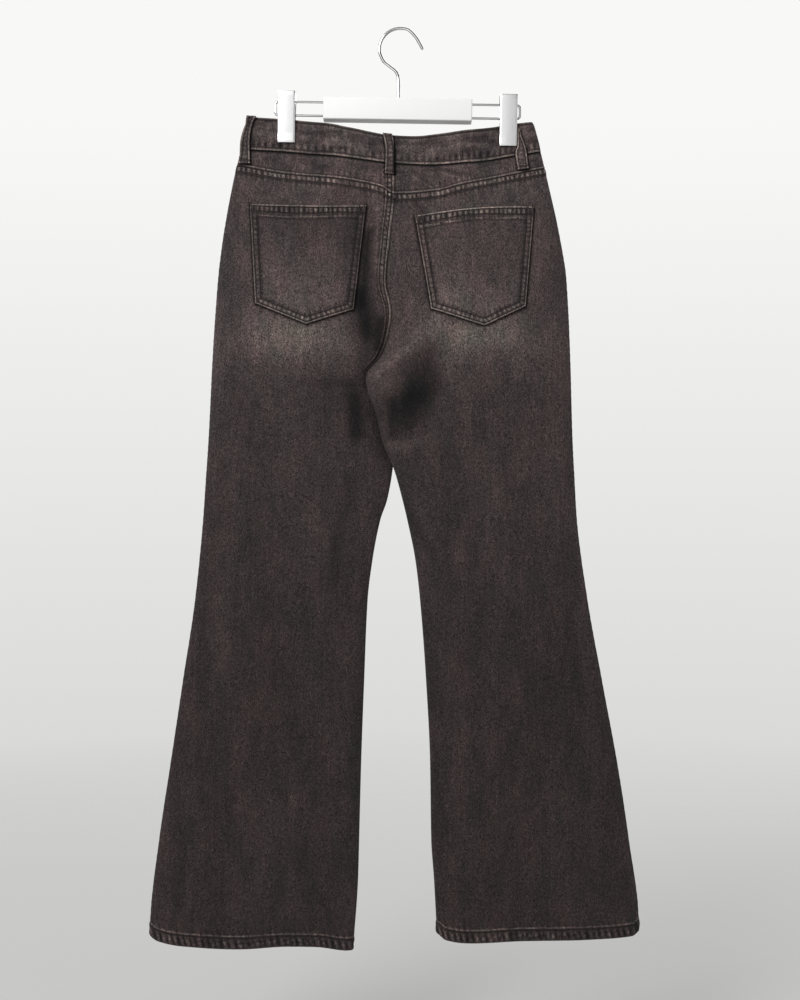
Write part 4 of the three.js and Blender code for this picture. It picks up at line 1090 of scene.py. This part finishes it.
def loopPlace(node, a, at):
    # a runs across from the left edge, at from the folded top to the sewn foot
    shape = loopShape
    face, topDrop, foot, rows = loops[node]
    half = "left" if (rows[0][1] + rows[0][2]) / 2 < inners["left"][0] else "right"
    left, right = loopEdges(rows, at, lambda at, xs, ys: readTable({"at": xs, "x": ys}, "x", at, "at"))
    x = mix(left, right, a)
    dips = frontDip(x) if face == "front" else 0
    top = topDrop if topDrop else edgeDrop("bandTop", x) + dips - shape["rise"]
    drop = mix(top, edgeDrop("waistSeam", x) + dips + foot, at)
    s = placeOf(sectionAt(half, drop), x)
    normal = clothNormal(half, face, s, drop)
    folded = 1 - ease((np.minimum(at, 1 - at) - 0.1) / 0.08)
    stands = shape["clear"] + shape["slack"] * np.sin(math.pi * at) ** 2
    acrossMm = np.minimum(a, 1 - a) * (right - left)
    edge = hump(acrossMm, 0.9, 0.9)
    groove = hump(acrossMm, shape["line"] + 0.9, 0.7)
    ends = np.minimum(at, 1 - at) * shape["tall"]
    tack = hump(ends, 3.0, 0.9) * (at > 0.5)
    ropes = roping(drop, 5, 61) * hump(acrossMm, 5, 3)
    bulk = shape["bulk"] * hump(at, 0.05, 0.05) * roping(x + 2 * drop, 6, 62)
    height = 0.4 * edge - 0.4 * groove + 0.3 * ropes - 0.4 * tack - 0.5 * hump(acrossMm, 0, 0.5) + bulk
    inner = clothPoint(half, face, s, drop) + normal * stands[..., None]
    outer = inner + normal * (shape["wall"] + shape["fold"] * folded + height)[..., None]
    middle = hump(acrossMm, 6, 2.2)
    worn = 1.3 * edge + 0.35 * plus(ropes) + 1.0 * hump(ends, 0.9, 0.8) * (at > 0.5) + 0.2 * middle
    # dark: painted shade in the stitch groove, at the bar tack and in the folded bulk's hollows, and partly
    # unworn dye in the rope valleys
    dark = 0.8 * groove + 0.3 * plus(-ropes) + 0.9 * tack + 0.8 * plus(-bulk)
    colour = dyeAndShadeOf(toneAt(face, x, drop) + 0.08, worn + plus(bulk), dark)
    return outer, inner, normal, colour


def makeLoops():
    for node in loops:
        a, at = np.meshgrid(np.linspace(0, 1, loopShape["across"]), np.linspace(0, 1, loopShape["down"]))
        outer, inner, _, colours = loopPlace(node, a, at)
        clothPiece(f"loop_{node}", node, outer, inner, colours, inner)


facing = {"rows": 40, "columns": 36, "past": 1.12, "inset": 2.3, "startDrop": 180.0}


def makeFacings():
    for half in ("left", "right"):
        k = np.linspace(0, facing["past"], facing["rows"])
        s = np.linspace(0, 1, facing["columns"])[None, :]
        drop = np.full((facing["rows"], facing["columns"]), facing["startDrop"])
        top = below("waistSeam", cloth["seamGap"] / 2, True)
        for _ in range(5):
            cut = sectionAt(half, drop)
            reach = scoopReach(half, {n: v[:, :1] for n, v in cut.items()}, drop[:, :1] - 12)
            end = placeOf(cut, cut["side"] - sign[half] * (reach + scoop["under"]))
            place = s * end
            waist = top(acrossAt(cut, place))
            foot = below("waistSeam", scoop["tall"], True)(cut["side"] - sign[half] * scoop["wide"])
            drop = waist + (foot - waist) * k[:, None]
        normal = clothNormal(half, "front", place, drop)
        point = clothPoint(half, "front", place, drop)
        # sewn in at the side, and well inside the front panel elsewhere
        inside = np.maximum(ease(s / 0.35), ease((k[:, None] - 0.97) / 0.07))
        outer = point - normal * (cloth["wall"] + facing["inset"]) * inside[..., None]
        inner = outer - normal * cloth["wall"]
        x = acrossAt(sectionAt(half, drop), place)
        none = np.zeros_like(x)
        colours = dyeAndShadeOf(toneAt("front", x, drop) - 0.2, none, none)
        clothPiece(f"pocketFacing_{half}", f"pocket_facing_{half}", outer, inner, colours, outer)


makeLoops()
makeFacings()
print("stage: belt loops and facings made")

# The clip hanger, in millimetres before it tilts about the hook's rest
hanger = {
    "tilt": math.radians(0.9), "hookWire": 1.9, "curve": 26, "arcFrom": 0.38, "arcTo": 1.08,
    "free": [(27.2, -22.8), (21.9, -13.3), (16, -5.4)],
    "bend": [(-20.5, -40), (-12.5, -46.5), (-5.5, -52), (-2.6, -58)],
    "shankX": -1.5, "shankDrops": [68, 76, 87, 101],
}
block = {"x": -2.1, "wide": 185.6, "tall": 27.8, "deep": 20, "top": 87, "round": 1.7, "steps": 6}
rail = {"wire": 1.5, "upper": 92, "lower": 109, "reach": 60, "bend": 4}
clip = {
    "x": {"left": -140.4, "right": 136.2}, "wide": 21.3, "top": 81, "frontRise": 3.5, "bottom": 144,
    "plate": 1.1, "topHalf": 11.5, "crown": 0.35, "roll": 0.9, "fit": 0.3,
    "padHalf": 4.1, "padSlope": 2, "padTall": 11, "padChamfer": 1, "padInset": 0.8,
    "earThick": 1, "earReach": 3.2, "earTop": 87, "earTopHalf": 11.2, "earBottom": 114,
    "earBottomHalf": 8.7, "earSlant": 3, "earInset": 2.5,
}
spring = {"middle": 2.75, "wire": 0.8, "turns": 5, "long": 9.2}


def tilted(points):
    x, y, z = points[..., 0], points[..., 1], points[..., 2]
    c, s = math.cos(hanger["tilt"]), math.sin(hanger["tilt"])
    return np.stack([x * c + z * s, y, z * c - x * s], axis=-1)


def smoothPath(points, each=8):
    # a curve through the points, in even steps between neighbours
    points = np.array(points, float)
    ends = np.concatenate([[2 * points[0] - points[1]], points, [2 * points[-1] - points[-2]]])
    k = np.linspace(0, 1, each, endpoint=False)[:, None]
    spans = []
    for a, b, c, d in zip(ends, ends[1:], ends[2:], ends[3:]):
        spans.append(0.5 * (2 * b + (c - a) * k + (2 * a - 5 * b + 4 * c - d) * k ** 2
                            + (3 * b - 3 * c + d - a) * k ** 3))
    return np.concatenate(spans + [points[-1:]])


def turnOf(around):
    return np.linspace(0, 2 * math.pi, around, endpoint=False)


def tube(path, radius, around):
    # a tube along a path, with its ends rounded off
    path = np.asarray(path, float)
    along = unit(np.gradient(path, axis=0))
    side = np.array([0.0, 1.0, 0.0])
    turn = turnOf(around)
    spokes = []
    for direction in along:
        side = unit(side - direction * side.dot(direction))
        spokes.append(np.outer(np.cos(turn), side) + np.outer(np.sin(turn), np.cross(direction, side)))
    cap = [(share, radius * math.sqrt(1 - share ** 2)) for share in np.linspace(0.12, 1, 5)[:-1]]
    rings = [path[0] - along[0] * shift + spokes[0] * radius * share for share, shift in cap]
    rings += [point + spoke * radius for point, spoke in zip(path, spokes)]
    rings += [path[-1] + along[-1] * shift + spokes[-1] * radius * share for share, shift in cap[::-1]]
    return ringSolid(np.array(rings))


def ringSolid(rings):
    # quads between rings, closed at both ends by strips of quads
    count, around = rings.shape[:2]
    i, j = (a.ravel() for a in np.meshgrid(np.arange(count - 1), np.arange(around), indexing="ij"))
    here, ahead = i * around, (i + 1) * around
    beside = (j + 1) % around
    faces = [np.stack([here + j, here + beside, ahead + beside, ahead + j], axis=1)]
    k = np.arange(around // 2 - 1)
    for base, flip in ((0, True), ((count - 1) * around, False)):
        end = np.stack([base + k, base + k + 1, base + around - 2 - k, base + around - 1 - k], axis=1)
        faces.append(end[:, ::-1] if flip else end)
    points = rings.reshape(-1, 3)
    return points, turnedOut(points, np.concatenate(faces))


def joined(solids):
    points, faces, base = [], [], 0
    for somePoints, someFaces in solids:
        points.append(somePoints)
        faces.append(someFaces + base)
        base += len(somePoints)
    return np.concatenate(points), np.concatenate(faces)


def roundedBar(low, high, radius, steps):
    # a bar along x with every edge rounded
    low, high = np.array(low, float), np.array(high, float)
    middle, half = (low + high) / 2, (high - low) / 2
    turns = [np.linspace(q * math.pi / 2, (q + 1) * math.pi / 2, steps + 1) for q in range(4)]
    corner = [(1, 1), (-1, 1), (-1, -1), (1, -1)]
    rings = []
    bow = np.linspace(0, math.pi / 2, steps + 1)
    ends = [(-1, b) for b in bow] + [(1, b) for b in bow[::-1]]
    for end, b in ends:
        reach = radius - radius * (1 - math.sin(b))
        x = end * (half[0] - radius * (1 - math.cos(b)))
        ring = []
        for (cy, cz), turn in zip(corner, turns):
            y, z = cy * (half[1] - radius), cz * (half[2] - radius)
            ring += [(x, y + reach * math.cos(t), z + reach * math.sin(t)) for t in turn]
        rings.append(ring)
    return ringSolid(np.array(rings) + middle)


def prism(outline, x0, x1, face):
    # an outline of (out, drop) points, drawn from x0 to x1
    rings = [[(x, face * out, -drop) for out, drop in outline] for x in (x0, x1)]
    return ringSolid(np.array(rings, float))


def metalPiece(name, solid, material, slotName, node):
    points, faces = solid
    return settle(meshPiece(name, tilted(points) * mm, faces), material, slotName, node)


def makeHook():
    shape = hanger
    centre = shape["hookWire"] - shape["curve"]
    turns = np.linspace(shape["arcFrom"], shape["arcTo"], 12) * math.pi
    arc = [(shape["curve"] * math.cos(t), centre + shape["curve"] * math.sin(t)) for t in turns]
    shank = [(shape["shankX"], -drop) for drop in shape["shankDrops"]]
    route = shape["free"] + arc + shape["bend"] + shank
    path = smoothPath([(x, 0, z) for x, z in route])
    metalPiece("hangerHook", tube(path, shape["hookWire"], 28), chrome, "hook_chrome", "hook")


def makeBlock():
    half = block["wide"] / 2
    low = (block["x"] - half, -block["deep"] / 2, -block["top"] - block["tall"])
    high = (block["x"] + half, block["deep"] / 2, -block["top"])
    bar = roundedBar(low, high, block["round"], block["steps"])
    metalPiece("hangerBlock", bar, whitePaint, "hanger_white", "hanger_block")


def makeRails():
    for side, name in ((-1, "left"), (1, "right")):
        end = block["x"] + side * block["wide"] / 2
        turnAt = end + side * (rail["reach"] - rail["bend"])
        turns = np.linspace(0, math.pi / 2, 7)
        bend, top = rail["bend"], -rail["upper"]
        upper = [(x, top) for x in np.linspace(end - side * 3, turnAt, 14)[:-1]]
        upper += [(turnAt + side * bend * math.sin(t), top - bend * (1 - math.cos(t))) for t in turns]
        lower = [(x, -rail["upper"] - rail["lower"] - z) for x, z in upper[::-1]]
        path = np.array([(x, 0, z) for x, z in upper + lower])
        metalPiece(f"clipRail_{name}", tube(path, rail["wire"], 18), chrome, "hook_chrome", f"rail_{name}")


def plateShell(x, face, top):
    # a leaning plate: crowned across, its long edges turned in and its top rolled over
    k, a = np.meshgrid(np.linspace(0, 1, 44), np.linspace(-1, 1, 21), indexing="ij")
    padOut = clip["padHalf"] + clip["padSlope"]
    drop = mix(top, clip["bottom"], k)
    slant = np.clip((drop - top) / (clip["bottom"] - clip["padTall"] - clip["padChamfer"] - top), 0, 1)
    out = mix(clip["topHalf"], padOut, slant) + clip["plate"]
    out = out - clip["crown"] * a ** 2 - clip["roll"] * plus(np.abs(a) - 0.9) / 0.1 * 0.5
    out = out - clip["roll"] * (hump(drop - top, 0, 1.3) + 0.5 * hump(clip["bottom"] - drop, 0, 0.8))
    out = out - 0.45 * hump(drop - top, 3.2, 0.8)
    across = x + a * clip["wide"] / 2
    outer = np.stack([across, face * out, -drop], axis=-1)
    inner = np.stack([across, face * (out - clip["plate"] * 0.8), -drop], axis=-1)
    return outer, inner


def makePad(x, face):
    near, far = sorted((face * clip["padHalf"], face * (clip["padHalf"] + clip["padSlope"] + 0.4)))
    half = clip["wide"] / 2 - clip["padInset"]
    low, high = -clip["bottom"] + 0.5, -clip["bottom"] + clip["padTall"]
    return roundedBar((x - half, near, low), (x + half, far, high), 0.6, 3)


def makeEars(x, face):
    # two side plates; the front jaw's fit inside the back jaw's
    inset = clip["earInset"] + (clip["earThick"] + clip["fit"] if face > 0 else 0)
    outline = [(-clip["earReach"], clip["earBottom"] - clip["earSlant"]),
               (-clip["earReach"], clip["earTop"] + clip["earSlant"]),
               (clip["earTopHalf"], clip["earTop"]), (clip["earBottomHalf"], clip["earBottom"])]
    ends = [(end, x + end * (clip["wide"] / 2 - inset)) for end in (-1, 1)]
    return [prism(outline, outerX - end * clip["earThick"], outerX, face) for end, outerX in ends]


def makeClips():
    for side in ("left", "right"):
        x = clip["x"][side]
        for name, face in (("back", -1), ("front", 1)):
            top = clip["top"] - (clip["frontRise"] if name == "front" else 0)
            outer, inner = plateShell(x, face, top)
            plate = ringSolid(np.concatenate([outer, inner[:, ::-1]], axis=1))
            jaw = joined([plate, makePad(x, face)] + makeEars(x, face))
            metalPiece(f"clipJaw_{name}_{side}", jaw, clipMetal, "clip_metal", f"jaw_{name}_{side}")
        turns = np.linspace(0, 2 * math.pi * spring["turns"], 24 * spring["turns"])
        coil = np.stack([x + spring["long"] * (turns / turns[-1] - 0.5), spring["middle"] * np.cos(turns),
                         -rail["upper"] + spring["middle"] * np.sin(turns)], axis=-1)
        wound = tube(coil, spring["wire"], 10)
        metalPiece(f"clipSpring_{side}", wound, chrome, "hook_chrome", f"clip_spring_{side}")


# The waist button, turned: radius and height off the band
buttonShape = {
    "fromCentre": 12, "belowTop": 19, "out": 5.1, "around": 56,
    "profile": [
        (0.3, 0), (4, 0), (4, 1.6), (7.2, 1.6), (8.2, 1.9), (8.5, 2.5), (8.5, 3.6), (8.3, 4.3), (7.8, 4.85),
        (7.1, 5.0), (6.5, 4.8), (6.1, 4.3), (5.2, 4.05), (4.4, 4.1), (4.0, 4.4), (3.3, 4.5), (2.9, 4.1),
        (1.6, 3.95), (0.3, 3.9)],
}


def makeButton():
    x = np.array([inners["right"][0] + buttonShape["fromCentre"]], float)
    drop = edgeDrop("bandTop", x) + cloth["frontDip"] + buttonShape["belowTop"]
    s = placeOf(sectionAt("right", drop), x)
    normal = clothNormal("right", "front", s, drop)
    seat = (clothPoint("right", "front", s, drop) + normal * buttonShape["out"])[0]
    turn = turnOf(buttonShape["around"])
    rings = [[(seat[0] + r * math.cos(t), seat[1] + h, seat[2] + r * math.sin(t)) for t in turn]
             for r, h in buttonShape["profile"]]
    points, faces = ringSolid(np.array(rings))
    settle(meshPiece("waistButton", points * mm, faces), agedMetal, "button_metal", "waist_button")


makeHook()
makeBlock()
makeRails()
makeClips()
makeButton()
print("stage: hanger and button made")

# Stitches: a dash of thread at each step along a line on the cloth
stitch = {
    "pitch": 3.0, "dash": 2.3, "radius": 0.24, "stations": 5, "around": 4, "rise": 0.16, "sink": 0.12,
}


def sewRun(points, normals, pitch=1.0):
    gaps = np.linalg.norm(np.diff(points, axis=0), axis=1)
    length = np.concatenate([[0], np.cumsum(gaps)])
    starts = np.arange(0.4, length[-1] - stitch["dash"], stitch["pitch"] * pitch)
    t = np.linspace(0, 1, stitch["stations"])
    at = starts[:, None] + stitch["dash"] * pitch * t
    place, up, on = (np.stack([np.interp(at + shift, length, table[:, i]) for i in range(3)], axis=-1)
                     for table, shift in ((points, 0), (normals, 0), (points, 0.2)))
    up, along = unit(up), unit(on - place + 1e-6)
    side = unit(np.cross(up, along))
    arch = (stitch["rise"] * np.sin(math.pi * t) - stitch["sink"] * (1 - np.sin(math.pi * t)))
    arch = arch[None, :, None, None]
    turn = turnOf(stitch["around"])[None, None, :, None]
    ring = stitch["radius"] * (np.cos(turn) * side[:, :, None] + 0.8 * np.sin(turn) * up[:, :, None])
    body = place[:, :, None] + up[:, :, None] * arch + ring
    around, stations = stitch["around"], stitch["stations"]
    i, j = (a.ravel() for a in np.meshgrid(np.arange(stations - 1), np.arange(around), indexing="ij"))
    here, ahead, beside = i * around, (i + 1) * around, (j + 1) % around
    quads = [np.stack([here + j, ahead + j, ahead + beside, here + beside], axis=1)]
    last = (stations - 1) * around
    quads.append(np.array([[0, 1, 2, 3], [last + 3, last + 2, last + 1, last]]))
    quads = np.concatenate(quads)
    base = (np.arange(len(starts)) * stations * around)[:, None, None]
    return body.reshape(-1, 3), (quads[None] + base).reshape(-1, 4)


def panelRun(kind, half, s, x, drop):
    raised, _, normal, _, _ = surfaceAt(kind, half, s, x, drop)
    return sewRun(raised, normal)


def acrossRun(kind, half, dropAt):
    # a line across a panel, from side to middle
    s = np.linspace(0.006, 0.996, 260)
    drop = np.full_like(s, 190.0)
    for _ in range(5):
        x = acrossAt(sectionAt(half, drop), s)
        drop = dropAt(x)
    return panelRun(kind, half, s, x, drop)


def innerRun(kind, half, distance, drop):
    # a line down a panel, at a distance from its middle edge
    cut = sectionAt(half, drop)
    x = cut["inner"] + sign[half] * distance
    return panelRun(kind, half, placeOf(cut, x), x, drop)


def seamRuns():
    runs = []
    for half in ("left", "right"):
        for under in yokeLines:
            runs.append(acrossRun("back", half, below("yokeSeam", under)))
        for kind in ("back", "front"):
            runs.append(acrossRun(kind, half, below("hem", -hemRelief["stitch"])))
    for kind, half, start, end in (("yoke", "left", 171, 206), ("back", "left", 210, 424),
                                   ("front", "right", 304, 424)):
        drop = np.linspace(start, end, 180)
        runs += [innerRun(kind, half, line, drop) for line in centreLines(drop)]
    return runs


def pocketRuns():
    runs = []
    for half, shape in pockets.items():
        corners = [np.array(corner, float) for corner in pocketCorners(half)]
        for inset in pocketLook["lines"]:
            # each edge moved in, then cut off where the next one crosses it
            moved = []
            for one, other in zip(corners, corners[1:]):
                ahead = unit(other - one)
                shift = np.array([ahead[1], -ahead[0]]) * inset
                moved.append((one + shift, ahead))
            knots = [moved[0][0] + moved[0][1] * 1.5]
            for (p, u), (q, v) in zip(moved, moved[1:]):
                reach = np.linalg.solve(np.stack([u, -v], axis=1), q - p)[0]
                knots.append(p + u * reach)
            knots.append(corners[-1] + (moved[-1][0] - corners[-2]) - moved[-1][1] * 1.5)
            runs.append(pocketRun(half, knots))
        across = np.linspace(shape["topLeft"][0] + 2.6, shape["topRight"][0] - 2.6, 120)
        top = pocketTop(half, (across - shape["topLeft"][0]) / (shape["topRight"][0] - shape["topLeft"][0]))
        lower = pocketLook["hem"] - 2 + pocketHemWave(half, across)
        for under in (pocketLook["hemLine"] + 0 * across, lower):
            runs.append(pocketRun(half, np.stack([across, top + under], axis=1)))
        # bar tacks across the top corners
        for corner, side in ((corners[0], 1), (corners[-1], -1)):
            for row in range(4):
                ends = [corner + np.array([side * (1.6 + 0.5 * row), end]) for end in (1.4, 9)]
                runs.append(pocketRun(half, ends, 0.6))
    return runs


def pocketRun(half, knots, pitch=1.0):
    knots = np.array(knots)
    lengths = np.linalg.norm(np.diff(knots, axis=0), axis=1)
    along = np.concatenate([[0], np.cumsum(lengths)])
    steps = np.arange(0, along[-1], 0.9)
    x, drop = (np.interp(steps, along, knots[:, i]) for i in (0, 1))
    a, k = np.full_like(x, 0.5), np.full_like(x, 0.5)
    for _ in range(12):
        left, right = pocketPlace(half, 0 * a, k)[0], pocketPlace(half, 0 * a + 1, k)[0]
        a = (x - left) / (right - left)
        top, foot = pocketPlace(half, a, 0 * k)[1], pocketPlace(half, a, 0 * k + 1)[1]
        k = (drop - top) / (foot - top)
    outer, _, normal, *_ = pocketPoint(half, a, k)
    return sewRun(outer, normal, pitch)


def bandRuns():
    runs, fold = [], 0.003
    spans = [("left", "back", fold, 1, 0), ("right", "back", fold, 1, 0), ("left", "front", fold, 1, None),
             ("right", "front", fold, lapPlace(2.5), 0), ("right", "front", lapPlace() + 0.004, 1, 1)]
    for half, face, start, end, lift in spans:
        s = np.linspace(start, end, 220)
        x = acrossAt(sectionAt(half, np.full_like(s, bandShape["middleDrop"])), s)
        tall = edgeDrop("waistSeam", x) - edgeDrop("bandTop", x)
        lifts = bandLift(half, s) if lift is None else lift + 0 * s
        for at in (bandShape["topStitch"] / tall, 1 - bandShape["footStitch"] / tall):
            outer, _, normal, *_ = bandPlace(half, face, s, at, lifts)
            runs.append(sewRun(outer, normal))
    return runs


def loopRuns():
    runs = []
    for node, (_, _, _, rows) in loops.items():
        at = np.linspace(0.03, 0.97, 90)
        left, right = loopEdges(rows, at)
        inset = loopShape["stitch"] / (right - left)
        for a in (inset, 1 - inset):
            outer, _, normal, _ = loopPlace(node, a, at)
            runs.append(sewRun(outer, normal))
        for row in range(4):
            a = np.linspace(0.1, 0.9, 24)
            tack = 1 - (2.3 + 0.5 * row) / loopShape["tall"]
            outer, _, normal, _ = loopPlace(node, a, np.full_like(a, tack))
            runs.append(sewRun(outer, normal, 0.5))
    return runs


def frontRuns():
    runs = []
    for half in ("left", "right"):
        for past in scoop["lines"]:
            share = np.linspace(0.02, 0.97, 150)
            drop = np.full_like(share, 200.0)
            for _ in range(5):
                cut = sectionAt(half, drop)
                x = cut["side"] - sign[half] * (scoopReach(half, cut, drop) + past)
                drop = mix(below("waistSeam", 1, True)(x), frontScoopFoot(x), share)
            runs.append(panelRun("front", half, placeOf(cut, x), x, drop))
    # the fly's curved double line
    for out, foot in flyShape["lines"]:
        t = np.linspace(0, 1, 160)
        straight = np.clip(t / 0.6, 0, 1)
        bend = np.clip((t - 0.6) / 0.4, 0, 1) * math.pi / 2
        drop = mix(flyShape["starts"], foot - flyShape["bend"], straight) + flyShape["bend"] * np.sin(bend)
        runs.append(innerRun("front", "left", (out - 2) * np.cos(bend) + 2, drop))
    return runs


def makeStitches():
    areas = (("seams", seamRuns), ("pockets", pocketRuns), ("band", bandRuns), ("loops", loopRuns),
             ("front", frontRuns))
    for name, runsOf in areas:
        points, faces = joined(runsOf())
        settle(meshPiece(f"stitches_{name}", points * mm, turnedOut(points, faces)), thread, "denim")


# Each cloth piece's bare surface, scaled to metres and then left unused
def declareSheets():
    for name, (piece, surface) in sheets.items():
        surface = surface * mm


makeStitches()
declareSheets()

# Camera, at the photo's angle: level, in front of the middle of the picture
camera = {"distance": 1.8, "x": -0.75 * mm, "z": -587.5 * mm, "pictureTall": 1.25, "sensor": 36}


def makeCamera():
    lens = bpy.data.cameras.new("photoCamera")
    lens.sensor_width = camera["sensor"]
    lens.lens = camera["sensor"] * camera["distance"] / camera["pictureTall"]
    view = placeObject("photoCamera", lens)
    view.location = (camera["x"], -camera["distance"], camera["z"])
    view.rotation_euler = (math.radians(90), 0, 0)
    bpy.context.scene.camera = view


studio = {
    "floorDrop": 1.32, "floorHalf": 3.2, "floorPale": 0.62, "fadeFrom": 0.5, "fadeTo": 3.1,
    "backdrop": (-0.36, 0.25, 0.58, 0.94), "ambient": (-0.8, 0.8, 0.28, 0.52),
    "ahead": (-0.25, 0.25, 1.42, 0.2), "beside": (0.3, 0.75, 1, 0.2), "above": (0.25, 0.75, 1, 0.15),
    "aim": (0, 0, -0.45),
    "key": {"at": (-1.3, -1.9, 1.0), "size": 1.3, "power": 46},
    "fill": {"at": (2.4, -2.0, -0.2), "size": 2.6, "power": 9},
    "behind": {"at": (0.5, 2.6, 0.9), "size": 2.6, "power": 30},
}


def makeFloor():
    half = studio["floorHalf"]
    mesh = bpy.data.meshes.new("floor")
    corners = [(-half, -half), (half, -half), (half, half), (-half, half)]
    mesh.from_pydata([(x, y, -studio["floorDrop"]) for x, y in corners], [], [(0, 1, 2, 3)])
    floor = placeObject("floor", mesh)
    material, tree, shader = newMaterial("paleFloor")
    # thins out with distance, so that it fades into the backdrop
    place = tree.nodes.new("ShaderNodeTexCoord").outputs["Object"]
    away = addNode(tree, "VectorMath", "Value", {0: place}, operation="LENGTH")
    pale = studio["floorPale"]
    setSockets(tree, shader, {
        "Base Color": (pale, pale, pale, 1), "Roughness": 0.95, "Specular IOR Level": 0.1,
        "Alpha": rangeNode(tree, away, studio["fadeFrom"], studio["fadeTo"], 1, 0)})
    mesh.materials.append(material)


def makeStudio():
    world = bpy.data.worlds.new("softRoom")
    world.use_nodes = True
    tree = world.node_tree
    # by height: a backdrop that darkens towards the floor, and a dimmer light on the cloth
    split = tree.nodes.new("ShaderNodeSeparateXYZ")
    setSockets(tree, split, {"Vector": tree.nodes.new("ShaderNodeTexCoord").outputs["Generated"]})
    x, y, z = split.outputs
    seen = rangeNode(tree, z, *studio["backdrop"])
    lights = rangeNode(tree, z, *studio["ambient"])
    # metal mirrors a room that is brightest ahead on the left and dim at the sides
    mirrored = rangeNode(tree, x, *studio["ahead"])
    for way, reach in ((x, studio["beside"]), (z, studio["above"])):
        mirrored = product(tree, mirrored, rangeNode(tree, mathNode(tree, "ABSOLUTE", way, 0), *reach))
    path = tree.nodes.new("ShaderNodeLightPath").outputs
    strength = addNode(tree, "Mix", "Result", {"Factor": path["Is Glossy Ray"], "A": lights, "B": mirrored})
    strength = addNode(tree, "Mix", "Result", {"Factor": path["Is Camera Ray"], "A": strength, "B": seen})
    setSockets(tree, tree.nodes["Background"], {"Color": (1, 1, 0.985, 1), "Strength": strength})
    bpy.context.scene.world = world
    for name in ("key", "fill", "behind"):
        light = bpy.data.lights.new(name, "AREA")
        light.shape = "DISK"
        light.size = studio[name]["size"]
        light.energy = studio[name]["power"]
        lamp = placeObject(name, light)
        lamp.location = studio[name]["at"]
        aim = Vector(studio["aim"]) - lamp.location
        lamp.rotation_euler = aim.to_track_quat("-Z", "Y").to_euler()


makeCamera()
makeFloor()
makeStudio()
bpy.context.scene.view_settings.view_transform = "Standard"
print("stage: camera and studio made")
